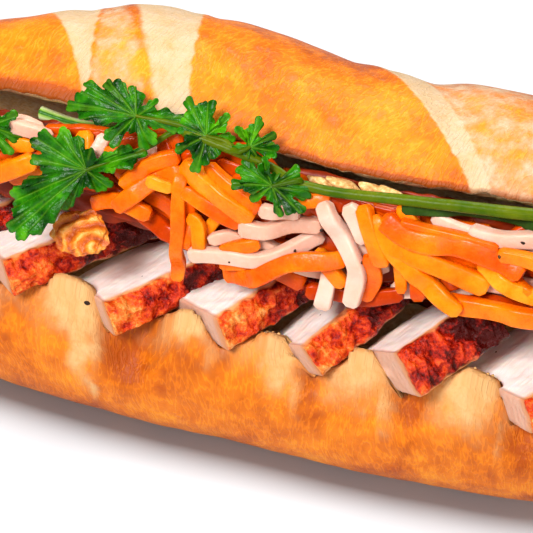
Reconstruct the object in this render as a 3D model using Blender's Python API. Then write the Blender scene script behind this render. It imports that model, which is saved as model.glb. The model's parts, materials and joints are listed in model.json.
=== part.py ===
# A roast pork baguette sandwich, cut along its front, hinged along its back and propped open by its filling.
# X runs along the loaf, -Y is the open front and +Z is up. The origin is the middle of the flat the loaf rests on.
# The shapes are worked out in millimetres and written to the meshes in metres.
import math
import random

import bmesh
import bpy
import numpy as np
from mathutils import Matrix, Vector, noise

MM = 0.001
CLEARANCE = 0.45  # gap between pieces that press on each other

# The loaf, as baked and still closed
LOAF_LENGTH = 220.0
LOAF_HALF_WIDTH = 38.0
WIDEST_HEIGHT = 20.0
BASE_DEPTH = 22.0  # how far the underside would bulge below the widest level, before it flattens on the oven floor
SHOULDER_DEPTH = 26.7
CUT_HEIGHT = 38.0
CROWN_DEPTH = 28.3
CROWN_HALF_WIDTH = 36.0
CROWN_Y = 1.5
AXIS_HEIGHT = 28.0  # height of the loaf's own axis, where its tips are
TIP_DROP = 3.0
BULGE_POWER = 2.4
TAPER_POWER = 3.6
TAPER_ROOT = 2.9

# How it was cut and opened
HINGE_Y = 27.0
OPEN_ANGLE = 50.0
TROUGH_DEPTH = 17.0
TROUGH_HALF_WIDTH = 28.5
CROWN_HOLLOW = 7.0
CROWN_HOLLOW_HALF_WIDTH = 31.0

# Swells and dents along the front rim of the bottom half: place along X, rise, half width
RIM_WAVES = ((-60, -1.5, 8), (-44, 4.5, 9), (-27, -4.5, 8), (-12, 2.5, 7), (30, 2.0, 9), (51, 3.0, 8), (68, -1.5, 8))

# Swells of the crown's height, in the same way
CROWN_WAVES = ((-74, -5.0, 20), (-32, 4.3, 28), (12, -0.8, 8))

# Places where the crown gapes wider or sags, in degrees, in the same way
GAPE_WAVES = ((-75, 2.0, 30), (24, -1.9, 24))

# Slashes in the crown: place along X at the front rim, lean towards the back, half width, depth
SLASHES = ((-76, -8, 5, 1.4), (-46, -9, 5, 1.6), (-20, -10, 7, 1.2), (47, -26, 6, 1.8), (82, -14, 5, 1.4))

# Slabs of pork, shingled from the left: the rind's front top corner, its heading and rise in degrees, how far the
# rind leans back from upright, then the slab's length along the rind, depth behind it and thickness
SLABS = (
    dict(corner=(-82.0, -30.5, 49.5), heading=45, rise=2, lean=24, length=30, depth=26, thick=9.0),
    dict(corner=(-57.0, -33.0, 52.0), heading=46, rise=2, lean=23, length=38, depth=27, thick=9.5),
    dict(corner=(-32.3, -33.5, 46.0), heading=47, rise=4, lean=25, length=29, depth=27, thick=9.3),
    dict(corner=(-5.3, -33.0, 49.0), heading=54, rise=4, lean=24, length=27, depth=27, thick=9.3),
    dict(corner=(15.0, -33.5, 46.8), heading=57, rise=13, lean=41, length=27, depth=26, thick=9.0),
    dict(corner=(36.8, -34.5, 52.6), heading=53, rise=8, lean=42, length=25, depth=25, thick=11.8),
    dict(corner=(66.0, -34.0, 45.5), heading=50, rise=3, lean=25, length=32, depth=32, thick=9.0),
    dict(corner=(87.5, -26.5, 46.5), heading=52, rise=3, lean=24, length=22, depth=24, thick=8.5),
)
RIND_RELIEF = 1.1

# The heap of pickled carrot and white radish: its middle section (y, z), then the slope of its open face
HEAP_LEFT, HEAP_RIGHT = -99.0, 101.0
HEAP_SECTION = ((-14, 82), (-19.5, 71), (-22.5, 61), (-10, 50), (-2, 34), (6, 26), (16, 31), (14, 46), (1, 64))
FACE_TOP_Y, FACE_TOP_Z = -15.0, 87.0
FACE_SLOPE = 0.35
CARROT_RADIUS = 1.7
RADISH_RADIUS = 1.85

# Shreds that lie on the heap's face, as (x, z) of each end and how far the strip bows out between them
CARROTS = (
    (-18, 76, -18, 52, 0.5), (-18, 80, 0, 72, 0.0), (-16, 83, 1, 75, 1.7), (-16, 73, -8, 70, 0.5), (-7, 55, 20, 64, 3.5),
    (24, 78, 29, 72, 0.5), (28, 79, 54, 73, -0.8), (34, 71, 53, 65, 1.6), (29, 69, 51, 60, -2.5), (49, 61, 66, 62, -0.8),
    (45, 73, 64, 66, 0.5), (-62, 70, -54, 73, 0.5), (-37, 68, -26, 66, 0.8), (-31, 72, -21, 79, 0.4),
    (-14, 71, -11, 62, 0.6), (20, 70, 29, 65, 0.6), (36, 79, 62, 74, 1.6), (-45, 77, -36, 81, 0.4),
    (41, 73, 62, 72, 1.2), (-12, 68, -3, 67, 0.9), (31, 75, 40, 69, 0.4), (-57, 76, -47, 68, 1.0), (66, 75, 82, 66, 1.5),
    (70, 64, 84, 70, 1.0), (-80, 67, -66, 73, 1.0),
)
RADISHES = (
    (-25, 73, -23, 66, 0.3), (-13, 60, 12, 68, -1.5), (-3, 68, 13, 73, -0.8), (-10, 64, -3, 66, 0.4),
    (15, 77, 22, 56, 4.5), (16, 75, 23, 68, 3.0), (17, 64, 17, 53, 0.4), (49, 78, 66, 79, 0.5), (-57, 82, -53, 77, 0.5),
    (-40, 79, -35, 74, 0.5), (64, 70, 78, 76, 1.0), (-74, 74, -64, 66, 1.2),
)

# Cucumber slices under the crown's rim: place of the middle along X, length, and how far down from the rim
CUCUMBERS = ((-38.0, 34.0, 4.5), (53.0, 58.0, 5.0))
CUCUMBER_WIDTH = 15.0
CUCUMBER_THICKNESS = 3.4

# Coriander: its stalk from the cut end at the right, then leaves by their base, their tip and their width
STALK = ((72, -15, 85), (58, -18, 85.5), (42, -19.5, 85), (30, -20, 84), (18, -20.5, 83), (9, -20.5, 83.5),
         (3, -20, 86), (-6, -19.5, 88), (-17, -18.5, 89.5))
STALK_RADIUS = 1.2
LEAVES = (
    ((-25, -21, 85), (-53, -34, 66), 24), ((-19, -18.5, 90), (-46, -15, 88), 18), ((-13, -19, 87), (-16, -12, 97), 13),
    ((-7, -19.5, 88), (2, -15, 95), 15), ((1, -20.5, 86), (13, -24, 78), 15),
)
END_STALK = ((-84, -17, 83), (-76, -19, 84), (-69, -20, 84.5))
END_LEAVES = (((-70, -20.5, 84), (-55, -24, 84), 15), ((-76, -19.5, 83.5), (-86, -24, 76), 13))
LEAF_THICKNESS = 0.7

FLAKE_PLACE = (-40.5, -27.5, 62.5)
FLAKE_SIZE = (12.0, 9.5, 3.6)


def unit(values):
    values = np.asarray(values, float)
    return values / np.linalg.norm(values)


def lumps(point, size, seed=0.0):
    """Smooth noise from -1 to 1 whose lumps are about size millimetres across."""
    return noise.noise(Vector(point) / size + Vector((seed, 2.3 * seed, 0.7 * seed)))


def material(name, colour, roughness):
    made = bpy.data.materials.new(name)
    made.use_nodes = True
    shader = made.node_tree.nodes["Principled BSDF"]
    shader.inputs["Base Color"].default_value = (*colour, 1.0)
    shader.inputs["Roughness"].default_value = roughness
    shader.inputs["Metallic"].default_value = 0.0
    return made


def new_collection(name):
    made = bpy.data.collections.new(name)
    bpy.context.scene.collection.children.link(made)
    return made


def solid(name, mesh_builder, collection, finish=None):
    """An object from a bmesh in millimetres, with its faces turned outwards."""
    bmesh.ops.recalc_face_normals(mesh_builder, faces=mesh_builder.faces)
    bmesh.ops.scale(mesh_builder, vec=(MM, MM, MM), verts=mesh_builder.verts)
    mesh = bpy.data.meshes.new(name)
    mesh_builder.to_mesh(mesh)
    mesh_builder.free()
    made = bpy.data.objects.new(name, mesh)
    collection.objects.link(made)
    if finish:
        mesh.materials.append(finish)
    return made


def loft(rings):
    """A closed skin over rings of equal count, with a fan of triangles over each end."""
    built = bmesh.new()
    rows = [[built.verts.new(point) for point in ring] for ring in rings]
    count = len(rows[0])
    for low, high in zip(rows, rows[1:]):
        for k in range(count):
            n = (k + 1) % count
            built.faces.new((low[k], low[n], high[n], high[k]))
    for row in (rows[0], rows[-1]):
        middle = built.verts.new(sum((v.co for v in row), Vector()) / count)
        for k in range(count):
            built.faces.new((row[k], row[(k + 1) % count], middle))
    return built


def grown(source, gap, collection):
    """A hidden copy of a solid, swollen by a gap, that cuts the room for it out of its neighbours."""
    graph = bpy.context.evaluated_depsgraph_get()
    mesh = bpy.data.meshes.new_from_object(source.evaluated_get(graph))
    shifts = [v.normal * gap * MM for v in mesh.vertices]
    for vertex, shift in zip(mesh.vertices, shifts):
        vertex.co += shift
    made = bpy.data.objects.new(source.name + "_room", mesh)
    made.hide_render = True
    made.display_type = "WIRE"
    collection.objects.link(made)
    return made


def apply_boolean(target, operation, others, label, solver="EXACT"):
    """Joins or cuts the target with one collection of solids, then removes the ones that were joined."""
    group = new_collection(label)
    for other in others:
        group.objects.link(other)
    change = target.modifiers.new(label, "BOOLEAN")
    change.operation = operation
    change.operand_type = "COLLECTION"
    change.collection = group
    change.solver = solver
    bpy.context.view_layer.update()
    graph = bpy.context.evaluated_depsgraph_get()
    result = bpy.data.meshes.new_from_object(target.evaluated_get(graph))
    target.modifiers.remove(change)
    finishes = list(target.data.materials)
    target.data = result
    target.data.materials.clear()
    for finish in finishes:
        target.data.materials.append(finish)
    bpy.data.collections.remove(group)
    if operation == "UNION":
        for other in others:
            bpy.data.objects.remove(other)
    keep_largest(target)


def keep_largest(target):
    """Drops the loose scraps that a cut can leave."""
    built = bmesh.new()
    built.from_mesh(target.data)
    bmesh.ops.remove_doubles(built, verts=built.verts, dist=2e-6)
    left = set(built.verts)
    islands = []
    while left:
        island, edge_of_search = set(), [left.pop()]
        while edge_of_search:
            vertex = edge_of_search.pop()
            island.add(vertex)
            for link in vertex.link_edges:
                other = link.other_vert(vertex)
                if other in left:
                    left.remove(other)
                    edge_of_search.append(other)
        islands.append(island)
    islands.sort(key=len, reverse=True)
    for island in islands[1:]:
        bmesh.ops.delete(built, geom=list(island), context="VERTS")
    built.to_mesh(target.data)
    built.free()


# The loaf


def swell(x):
    """Share of the loaf's full section at x, from 1 in the middle to 0 at its tips."""
    along = min(1.0, abs(2 * x / LOAF_LENGTH))
    return (1 - along**TAPER_POWER) ** (1 / TAPER_ROOT)


def waves(x, swells):
    return sum(rise * math.exp(-(((x - place) / width) ** 2)) for place, rise, width in swells)


def rounded(turn, power=2 / BULGE_POWER):
    """Cosine and sine of a turn, squared off as the loaf's bulging sides are."""
    c, s = math.cos(turn), math.sin(turn)
    return math.copysign(abs(c) ** power, c), math.copysign(abs(s) ** power, s)


def in_section(x, y, z):
    """A point of the full section, shrunk onto the loaf's axis as it is at x."""
    share = swell(x)
    axis = AXIS_HEIGHT - TIP_DROP * (1 - share)
    return y * share, axis + (z - AXIS_HEIGHT) * share


def bottom_ring(x, outer=15, inner=7):
    """Section of the bottom half: crust from the front rim, under the loaf, to the back rim, then the trough."""
    level = ((CUT_HEIGHT - WIDEST_HEIGHT) / SHOULDER_DEPTH) ** (BULGE_POWER / 2)
    start = -math.asin(level)
    points = []
    for k in range(outer):
        turn = start + (math.pi - 2 * start) * k / (outer - 1)
        c, s = rounded(turn)
        y = -LOAF_HALF_WIDTH * c
        z = WIDEST_HEIGHT - (BASE_DEPTH if s > 0 else SHOULDER_DEPTH) * s
        points.append((y, z))
    rim = -points[0][0]
    for k in range(inner):
        y = rim * (1 - 2 * (k + 0.75) / (inner + 0.5))
        across = min(1.0, abs(y) / TROUGH_HALF_WIDTH)
        points.append((y, CUT_HEIGHT - TROUGH_DEPTH * (1 - across**2) ** 0.8))
    ring = []
    for y, z in points:
        near_rim = max(0.0, min(1.0, (z - 20) / 14)) * max(0.0, min(1.0, (-y - 14) / 12))
        y, z = in_section(x, y, z)
        z += waves(x, RIM_WAVES) * near_rim * swell(x)
        ring.append((x, y, max(0.0, z)))
    return ring


def slash_depth(x, around):
    """Depth of the baker's slashes at a share of the way round the crown, from its front rim to its back."""
    depth = 0.0
    for place, lean, width, deep in SLASHES:
        middle = place + lean * around * 1.6
        depth += deep * math.exp(-(((x - middle) / width) ** 2))
    return depth * math.sin(math.pi * min(1.0, max(0.0, around))) ** 0.5


def opened(x, y, z):
    """Swings a point of the closed crown back about the hinge."""
    angle = math.radians(OPEN_ANGLE + waves(x, GAPE_WAVES))
    c, s = math.cos(angle), math.sin(angle)
    dy, dz = y - HINGE_Y, z - CUT_HEIGHT
    return HINGE_Y + dy * c + dz * s, CUT_HEIGHT - dy * s + dz * c


def crown_ring(x, outer=14, inner=6):
    """Section of the top half: crust from the front rim over the crown to the back, then the hollowed cut face."""
    ring = []
    for k in range(outer):
        around = k / (outer - 1)
        c, s = rounded(math.pi * around)
        y = CROWN_Y - CROWN_HALF_WIDTH * c
        z = CUT_HEIGHT + (CROWN_DEPTH + waves(x, CROWN_WAVES)) * s
        y, z = in_section(x, y, z)
        sunk = slash_depth(x, around) * swell(x)
        reach = math.hypot(y, z - CUT_HEIGHT) or 1.0
        swollen = 1 - sunk / reach + 0.018 * lumps((x, y, z), 34, 3)
        ring.append((x, *opened(x, y * swollen, CUT_HEIGHT + (z - CUT_HEIGHT) * swollen)))
    for k in range(inner):
        y = CROWN_Y + CROWN_HALF_WIDTH * (1 - 2 * (k + 0.75) / (inner + 0.5))
        across = min(1.0, abs(y - CROWN_Y) / CROWN_HOLLOW_HALF_WIDTH)
        y, z = in_section(x, y, CUT_HEIGHT + CROWN_HOLLOW * (1 - across**2))
        ring.append((x, *opened(x, y, z)))
    return ring


def stations(count, reach=0.985):
    """Places along the loaf, closer together towards its round tips."""
    return [LOAF_LENGTH / 2 * math.sin(math.pi / 2 * reach * (2 * k / (count - 1) - 1)) for k in range(count)]


def make_bread(collection, finish):
    bread = solid("bread", loft([bottom_ring(x) for x in stations(42)]), collection, finish)
    crown = solid("crown", loft([crown_ring(x) for x in stations(36)]), collection)
    apply_boolean(bread, "UNION", [crown], "crown_joined")
    return bread


# The pork


def slab_frame(slab):
    """Directions along the rind, from the rind into the meat, and down through the slab."""
    turn, rise, lean = (math.radians(slab[key]) for key in ("heading", "rise", "lean"))
    along = np.array((math.cos(turn) * math.cos(rise), math.sin(turn) * math.cos(rise), math.sin(rise)))
    outward = np.array((math.sin(turn), -math.cos(turn), 0.0))
    upward = np.cross(along, outward) * -1
    rind = outward * math.cos(lean) + upward * math.sin(lean)
    return along, -rind, outward * math.sin(lean) - upward * math.cos(lean)


def slab_ring(depth, thick, narrow):
    """Section across the rind as (inward, down): the rind, then the underside, the inner end and the top."""
    inner = 0.75 * thick
    outline = [(0.35, 0.0), (0.0, 0.1 * thick), (-0.25, 0.4 * thick), (-0.1, 0.7 * thick), (0.7, 0.98 * thick)]
    outline += [(depth * f * narrow, thick + (inner - thick) * f) for f in (0.35, 0.7)]
    outline += [(depth * narrow, inner * 0.9), (depth * narrow, 0.12 * thick)]
    outline += [(depth * f * narrow, 0.0) for f in (0.7, 0.35)]
    return outline


def make_slab(number, slab, collection, finish):
    along, inward, down = slab_frame(slab)
    corner, thick = np.array(slab["corner"]), slab["thick"]
    rings = []
    for k in range(7):
        share = k / 6
        ring = []
        for inner, low in slab_ring(slab["depth"], thick, 1 - 0.1 * (2 * share - 1) ** 2):
            point = corner + along * share * slab["length"] + inward * inner + down * low
            if inner < 1.0 and 0.05 < low / thick < 0.9:
                point = point - inward * RIND_RELIEF * (0.4 + lumps(point, 5.0, number))
            else:
                point = point + down * 0.3 * lumps(point, 9.0, number + 9)
            ring.append(Vector(point))
        rings.append(ring)
    return solid(f"pork_slice_{number}", loft(rings), collection, finish)


def make_pork(collection, cutters, finish):
    """Shingles the slabs: each is pressed in by the one that lies on it."""
    slabs = []
    for number, slab in enumerate(SLABS, 1):
        made = make_slab(number, slab, collection, finish)
        if slabs:
            apply_boolean(made, "DIFFERENCE", [grown(slabs[-1], CLEARANCE * 1.5, cutters)], "room")
        slabs.append(made)
    return slabs


# The pickles


def face_y(z):
    """The heap's open face leans back as it rises."""
    return FACE_TOP_Y - (FACE_TOP_Z - z) * FACE_SLOPE


def strand(name, points, radius, collection, finish=None):
    """A strip along a list of places, made of a curve and turned into a closed mesh."""
    curve = bpy.data.curves.new(name, "CURVE")
    curve.dimensions = "3D"
    curve.bevel_depth = radius * MM
    curve.bevel_resolution = 1
    curve.use_fill_caps = True
    spline = curve.splines.new("POLY")
    spline.points.add(len(points) - 1)
    for control, (place, thick) in zip(spline.points, points):
        control.co = (*(value * MM for value in place), 1.0)
        control.radius = thick
    guide = bpy.data.objects.new(name, curve)
    bpy.context.scene.collection.objects.link(guide)
    graph = bpy.context.evaluated_depsgraph_get()
    mesh = bpy.data.meshes.new_from_object(guide.evaluated_get(graph))
    bpy.data.objects.remove(guide)
    built = bmesh.new()
    built.from_mesh(mesh)
    bmesh.ops.remove_doubles(built, verts=built.verts, dist=1e-6)
    bmesh.ops.recalc_face_normals(built, faces=built.faces)
    built.to_mesh(mesh)
    built.free()
    if finish:
        mesh.materials.append(finish)
    made = bpy.data.objects.new(name, mesh)
    collection.objects.link(made)
    return made


def shred_points(x0, z0, x1, z1, bow, proud):
    """Places along a shred that bows in the heap's face and dips into the heap at its ends."""
    length = math.hypot(x1 - x0, z1 - z0)
    count = 4 + (length > 12) + (length > 20)
    points = []
    for k in range(count):
        share = k / (count - 1)
        arch = math.sin(math.pi * share)
        x = x0 + (x1 - x0) * share - (z1 - z0) / length * bow * arch
        z = z0 + (z1 - z0) * share + (x1 - x0) / length * bow * arch
        points.append(((x, face_y(z) + 2.2 - proud * arch, z), 0.75 + 0.25 * arch))
    return points


def heap_ring(x):
    """Section of the heap's core, shrunk with the loaf towards its ends."""
    from_end = min(x - HEAP_LEFT, HEAP_RIGHT - x)
    share = swell(x) * min(1.0, 0.45 + from_end / 24)
    middle = (1.0, 52.0)
    ring = []
    for y, z in HEAP_SECTION:
        y, z = middle[0] + (y - middle[0]) * share, middle[1] + (z - middle[1]) * share
        uneven = 0.9 * lumps((x, y, z), 8.0, 5)
        ring.append(Vector((x, y + uneven, z + 0.7 * uneven)))
    return ring


def make_heap(collection, finish):
    """A core with the shreds that show fused on, and a few more laid at random between them."""
    count = 24
    places = [HEAP_LEFT + (HEAP_RIGHT - HEAP_LEFT) * k / (count - 1) for k in range(count)]
    heap = solid("pickled_vegetables", loft([heap_ring(x) for x in places]), collection, finish)
    shreds = []
    for row, radius, proud in ((CARROTS, CARROT_RADIUS, 2.6), (RADISHES, RADISH_RADIUS, 3.6)):
        for k, place in enumerate(row):
            points = shred_points(*place, proud + 0.9 * math.sin(2.4 * k))
            shreds.append(strand("shred", points, radius, collection))
    draw = random.Random(11)
    for x in range(-86, 94, 15):
        z, heading, length = draw.uniform(62, 78), draw.uniform(-0.8, 0.8), draw.uniform(9, 15)
        end = min(80.0, z + length * math.sin(heading))
        place = (x, z, x + length * math.cos(heading), end, draw.uniform(-1.5, 1.5))
        shreds.append(strand("shred", shred_points(*place, 1.8), CARROT_RADIUS, collection))
    apply_boolean(heap, "UNION", shreds, "shreds_joined", "MANIFOLD")
    return heap


# Cucumber, coriander and crackling


def make_cucumber(number, place, collection, finish):
    """A lengthwise slice that leans on the crown's cut face, skin edge outwards."""
    middle, length, down_from_rim = place
    rings = []
    for k in range(9):
        along = 2 * k / 8 - 1
        width = CUCUMBER_WIDTH * (1 - 0.55 * abs(along) ** 3)
        ring = []
        for across, thick in ((0, 0), (0.3, -0.5), (1, -0.5), (1, 0.5), (0.3, 0.5)):
            x = middle + along * length / 2
            y = CROWN_Y - CROWN_HALF_WIDTH + down_from_rim + across * width
            z = CUT_HEIGHT - 2.8 + thick * CUCUMBER_THICKNESS + 0.8 * math.sin(3 * along)
            ring.append((x, *opened(x, *in_section(x, y, z))))
        rings.append(ring)
    return solid(f"cucumber_slice_{number}", loft(rings), collection, finish)


def lobed(turn):
    """Reach of a coriander leaf's edge in a direction, with three broad lobes cut into smaller ones."""
    return 0.74 + 0.2 * math.cos(3 * turn) + 0.1 * math.cos(8 * turn)


def make_blade(base, tip, width, collection, around=24):
    """A thin, wavy, lobed blade. Both of its faces are split into triangles alike."""
    base, tip = np.array(base, float), np.array(tip, float)
    length = np.linalg.norm(tip - base)
    ahead = (tip - base) / length
    facing = np.array((0.15, -0.72, 0.68))
    facing = unit(facing - ahead * (facing @ ahead))
    sideways = np.cross(facing, ahead)
    centre = base + ahead * length * 0.45
    built = bmesh.new()
    faces = []
    for side in (-0.5, 0.5):
        rows = []
        for share in (0.5, 1.0):
            row = []
            for k in range(around):
                turn = 2 * math.pi * k / around
                reach = share * (lobed(turn) if share == 1.0 else 0.75)
                a, b = reach * math.cos(turn) * length * 0.55, reach * math.sin(turn) * width * 0.55
                wave = 1.2 * math.sin(3 * turn + length) * share - 0.05 * b * b / 2
                thin = LEAF_THICKNESS * (1.0 if share < 1 else 0.6)
                row.append(built.verts.new(centre + ahead * a + sideways * b + facing * (wave + side * thin)))
            rows.append(row)
        middle = built.verts.new(centre + facing * side * LEAF_THICKNESS * 1.4)
        for k in range(around):
            n = (k + 1) % around
            built.faces.new((middle, rows[0][k], rows[0][n]))
            built.faces.new((rows[0][k], rows[1][k], rows[1][n]))
            built.faces.new((rows[0][k], rows[1][n], rows[0][n]))
        faces.append(rows[1])
    for k in range(around):
        n = (k + 1) % around
        built.faces.new((faces[0][k], faces[0][n], faces[1][n], faces[1][k]))
    return solid("blade", built, collection), centre


def make_sprig(name, stalk, leaves, collection, finish):
    count = len(stalk)
    sprig = strand(name, [(place, 1.0 - 0.35 * k / count) for k, place in enumerate(stalk)], STALK_RADIUS, collection, finish)
    pieces = []
    for base, tip, width in leaves:
        blade, centre = make_blade(base, tip, width, collection)
        root = min(stalk, key=lambda place: math.dist(place, base))
        pieces += [blade, strand("petiole", [(root, 1.0), (base, 1.0), (centre, 0.7)], 0.75, collection)]
    apply_boolean(sprig, "UNION", pieces, "leaves_joined", "MANIFOLD")
    return sprig


def make_flake(collection, finish):
    """A curled chip of crackling."""
    built = bmesh.new()
    bmesh.ops.create_icosphere(built, subdivisions=3, radius=0.5)
    for vertex in built.verts:
        x, y, z = vertex.co
        rough = 1 + 0.22 * lumps((x * 12, y * 12, z * 12), 3.0, 2)
        curl = 1.4 * math.sin(5 * x) + 0.9 * math.cos(7 * y)
        vertex.co = Vector((x * FLAKE_SIZE[0] * rough, y * FLAKE_SIZE[1] * rough, z * FLAKE_SIZE[2] * rough + 0.35 * curl))
    bmesh.ops.rotate(built, cent=(0, 0, 0), matrix=Matrix.Rotation(math.radians(32), 3, "X"), verts=built.verts)
    bmesh.ops.translate(built, vec=FLAKE_PLACE, verts=built.verts)
    return solid("crackling_flake", built, collection, finish)


def main():
    for leftover in list(bpy.data.objects):
        bpy.data.objects.remove(leftover)
    sandwich = new_collection("roast_pork_sandwich")
    cutters = new_collection("cutters")
    crust = material("baguette_crust", (0.78, 0.42, 0.13), 0.55)
    meat = material("roast_pork", (0.80, 0.55, 0.42), 0.5)
    carrot = material("pickled_carrot", (0.95, 0.38, 0.04), 0.35)
    flesh = material("cucumber_flesh", (0.62, 0.76, 0.42), 0.35)
    leaf = material("coriander_leaf", (0.06, 0.25, 0.03), 0.4)
    chip = material("crackling", (0.85, 0.42, 0.08), 0.4)

    bread = make_bread(sandwich, crust)
    slabs = make_pork(sandwich, cutters, meat)
    apply_boolean(bread, "DIFFERENCE", [grown(slab, CLEARANCE * 1.5, cutters) for slab in slabs], "pressed_in")
    flake = make_flake(sandwich, chip)
    apply_boolean(flake, "DIFFERENCE", [grown(slab, CLEARANCE, cutters) for slab in slabs[:3]], "laid_on")
    cucumbers = [make_cucumber(k, place, sandwich, flesh) for k, place in enumerate(CUCUMBERS, 1)]
    sprigs = [
        make_sprig("coriander_sprig", STALK, LEAVES, sandwich, leaf),
        make_sprig("coriander_end_sprig", END_STALK, END_LEAVES, sandwich, leaf),
    ]
    heap = make_heap(sandwich, carrot)
    others = [bread, flake, *slabs, *cucumbers, *sprigs]
    rooms = [grown(other, CLEARANCE * 1.5, cutters) for other in others]
    apply_boolean(heap, "DIFFERENCE", rooms, "pushed_aside", "MANIFOLD")


main()
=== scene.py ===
import json
import math
import random

import bpy
import numpy as np
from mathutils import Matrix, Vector, noise

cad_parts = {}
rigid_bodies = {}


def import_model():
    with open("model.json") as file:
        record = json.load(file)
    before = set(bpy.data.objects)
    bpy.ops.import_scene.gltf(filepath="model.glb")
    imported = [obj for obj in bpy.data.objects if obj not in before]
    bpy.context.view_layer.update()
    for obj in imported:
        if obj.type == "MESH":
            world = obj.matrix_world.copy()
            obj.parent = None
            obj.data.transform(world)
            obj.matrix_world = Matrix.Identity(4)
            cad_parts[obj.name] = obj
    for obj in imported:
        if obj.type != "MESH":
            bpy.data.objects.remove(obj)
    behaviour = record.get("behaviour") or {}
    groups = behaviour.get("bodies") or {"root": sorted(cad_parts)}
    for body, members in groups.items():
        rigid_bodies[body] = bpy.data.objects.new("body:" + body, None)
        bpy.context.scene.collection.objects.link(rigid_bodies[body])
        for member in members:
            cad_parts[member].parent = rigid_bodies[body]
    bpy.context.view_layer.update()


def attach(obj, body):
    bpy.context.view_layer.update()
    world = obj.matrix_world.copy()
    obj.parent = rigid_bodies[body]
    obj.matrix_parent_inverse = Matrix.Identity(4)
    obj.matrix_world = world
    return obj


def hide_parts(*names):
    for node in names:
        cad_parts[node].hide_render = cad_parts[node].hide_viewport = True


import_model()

mm = 0.001
body = "root"


def toLinear(hexColour):
    parts = [int(hexColour[k:k + 2], 16) / 255 for k in (1, 3, 5)]
    return tuple(p / 12.92 if p <= 0.04045 else ((p + 0.055) / 1.055) ** 2.4 for p in parts) + (1.0,)


# Adds a node: its inputs are numbers, colours, sockets or other nodes, whose first output is then meant,
# listed in order or by name or number, and stops are the colours of a ramp
def addNode(tree, kind, inputs=(), stops=None, **settings):
    full = kind.startswith(("Geometry", "Function", "NodeGroup"))
    node = tree.nodes.new(kind if full else "ShaderNode" + kind)
    for name, value in settings.items():
        setattr(node, name, value)
    for socket, value in (inputs if isinstance(inputs, dict) else dict(enumerate(inputs))).items():
        if isinstance(value, bpy.types.Node):
            value = value.outputs[0]
        if isinstance(value, bpy.types.NodeSocket):
            tree.links.new(value, node.inputs[socket])
        else:
            node.inputs[socket].default_value = toLinear(value) if str(value).startswith("#") else value
    if stops:
        ramp = node.color_ramp
        while len(ramp.elements) < len(stops):
            ramp.elements.new(0.5)
        for element, (place, colour) in zip(ramp.elements, stops):
            element.position = place
            element.color = toLinear(colour)
    return node


def newMaterial(name):
    made = bpy.data.materials.new(name)
    made.use_nodes = True
    made.node_tree.nodes.clear()
    return made, made.node_tree


# A node group that takes geometry, the named sizes and a seed and gives geometry, with the sockets of its
# inputs
def newTree(name, sizes):
    tree = bpy.data.node_groups.new(name, "GeometryNodeTree")
    tree.interface.new_socket("Geometry", in_out="INPUT", socket_type="NodeSocketGeometry")
    for size in sizes:
        tree.interface.new_socket(size, in_out="INPUT", socket_type="NodeSocketFloat")
    tree.interface.new_socket("Seed", in_out="INPUT", socket_type="NodeSocketInt")
    tree.interface.new_socket("Geometry", in_out="OUTPUT", socket_type="NodeSocketGeometry")
    return tree, addNode(tree, "NodeGroupInput").outputs


# The shader and the output of a material; what is the same all over stands on the shader's own sockets
def finishMaterial(tree, colour, roughness, height, reach=mm, **constants):
    bump = addNode(tree, "Bump", {"Height": height, "Distance": reach, "Strength": 1.0})
    inputs = {"Base Color": colour, "Roughness": roughness, "Normal": bump.outputs["Normal"]}
    inputs.update({name.replace("_", " "): value for name, value in constants.items()})
    shader = addNode(tree, "BsdfPrincipled", inputs)
    addNode(tree, "OutputMaterial", {"Surface": shader.outputs["BSDF"]})


def smooth(value):
    value = np.clip(value, 0, 1)
    return value * value * (3 - 2 * value)


# Smooth noise from -1 to 1 whose lumps are about size millimetres across
def lumps(points, size, seed=0.0):
    places = (np.asarray(points, float) / size + np.array((seed, 2.3 * seed, 0.7 * seed))).reshape(-1, 3)
    return np.array([noise.noise(Vector(place)) for place in places]).reshape(np.shape(points)[:-1])


# The same, creased: 1 along sharp crests and near 0 in the hollows between them
def crests(points, size, seed=0.0):
    return 1 - np.minimum(1, np.abs(lumps(points, size, seed)) * 2.2)


def meshPiece(name, points, faces, finish, fields=None):
    mesh = bpy.data.meshes.new(name)
    mesh.from_pydata((np.asarray(points) * mm).tolist(), [], faces)
    for key, values in (fields or {}).items():
        flat = values.ndim == 1
        layer = mesh.attributes.new(key, "FLOAT" if flat else "FLOAT_VECTOR", "POINT")
        layer.data.foreach_set("value" if flat else "vector", values.astype(np.float32).ravel())
    mesh.shade_smooth()
    mesh.materials.append(finish)
    piece = bpy.data.objects.new(name, mesh)
    bpy.context.scene.collection.objects.link(piece)
    return piece


# A closed skin over rings of points, rows x count x 3, with a fan over each end and its faces outwards
def loft(name, rings, finish, fields=None):
    rows, count = rings.shape[:2]

    def withMiddles(values):
        flat = values.reshape((-1,) + values.shape[2:])
        return np.concatenate([flat, values[:1].mean(1), values[-1:].mean(1)])

    points = withMiddles(rings)
    k = np.arange(count)
    n = (k + 1) % count
    base = np.arange(rows - 1)[:, None] * count
    quads = np.stack([base + k, base + n, base + count + n, base + count + k], -1).reshape(-1, 4)
    a, b, c, d = (points[quads[:, corner]] for corner in range(4))
    volume = (np.einsum("ij,ij->i", a, np.cross(b, c)) + np.einsum("ij,ij->i", a, np.cross(c, d))).sum()
    faces = quads.tolist()
    end = (rows - 1) * count
    faces += [[rows * count, int(q), int(p)] for p, q in zip(k, n)]
    faces += [[rows * count + 1, int(p) + end, int(q) + end] for p, q in zip(k, n)]
    if volume < 0:
        faces = [face[::-1] for face in faces]
    return meshPiece(name, points, faces, finish, {key: withMiddles(v) for key, v in (fields or {}).items()})


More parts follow.
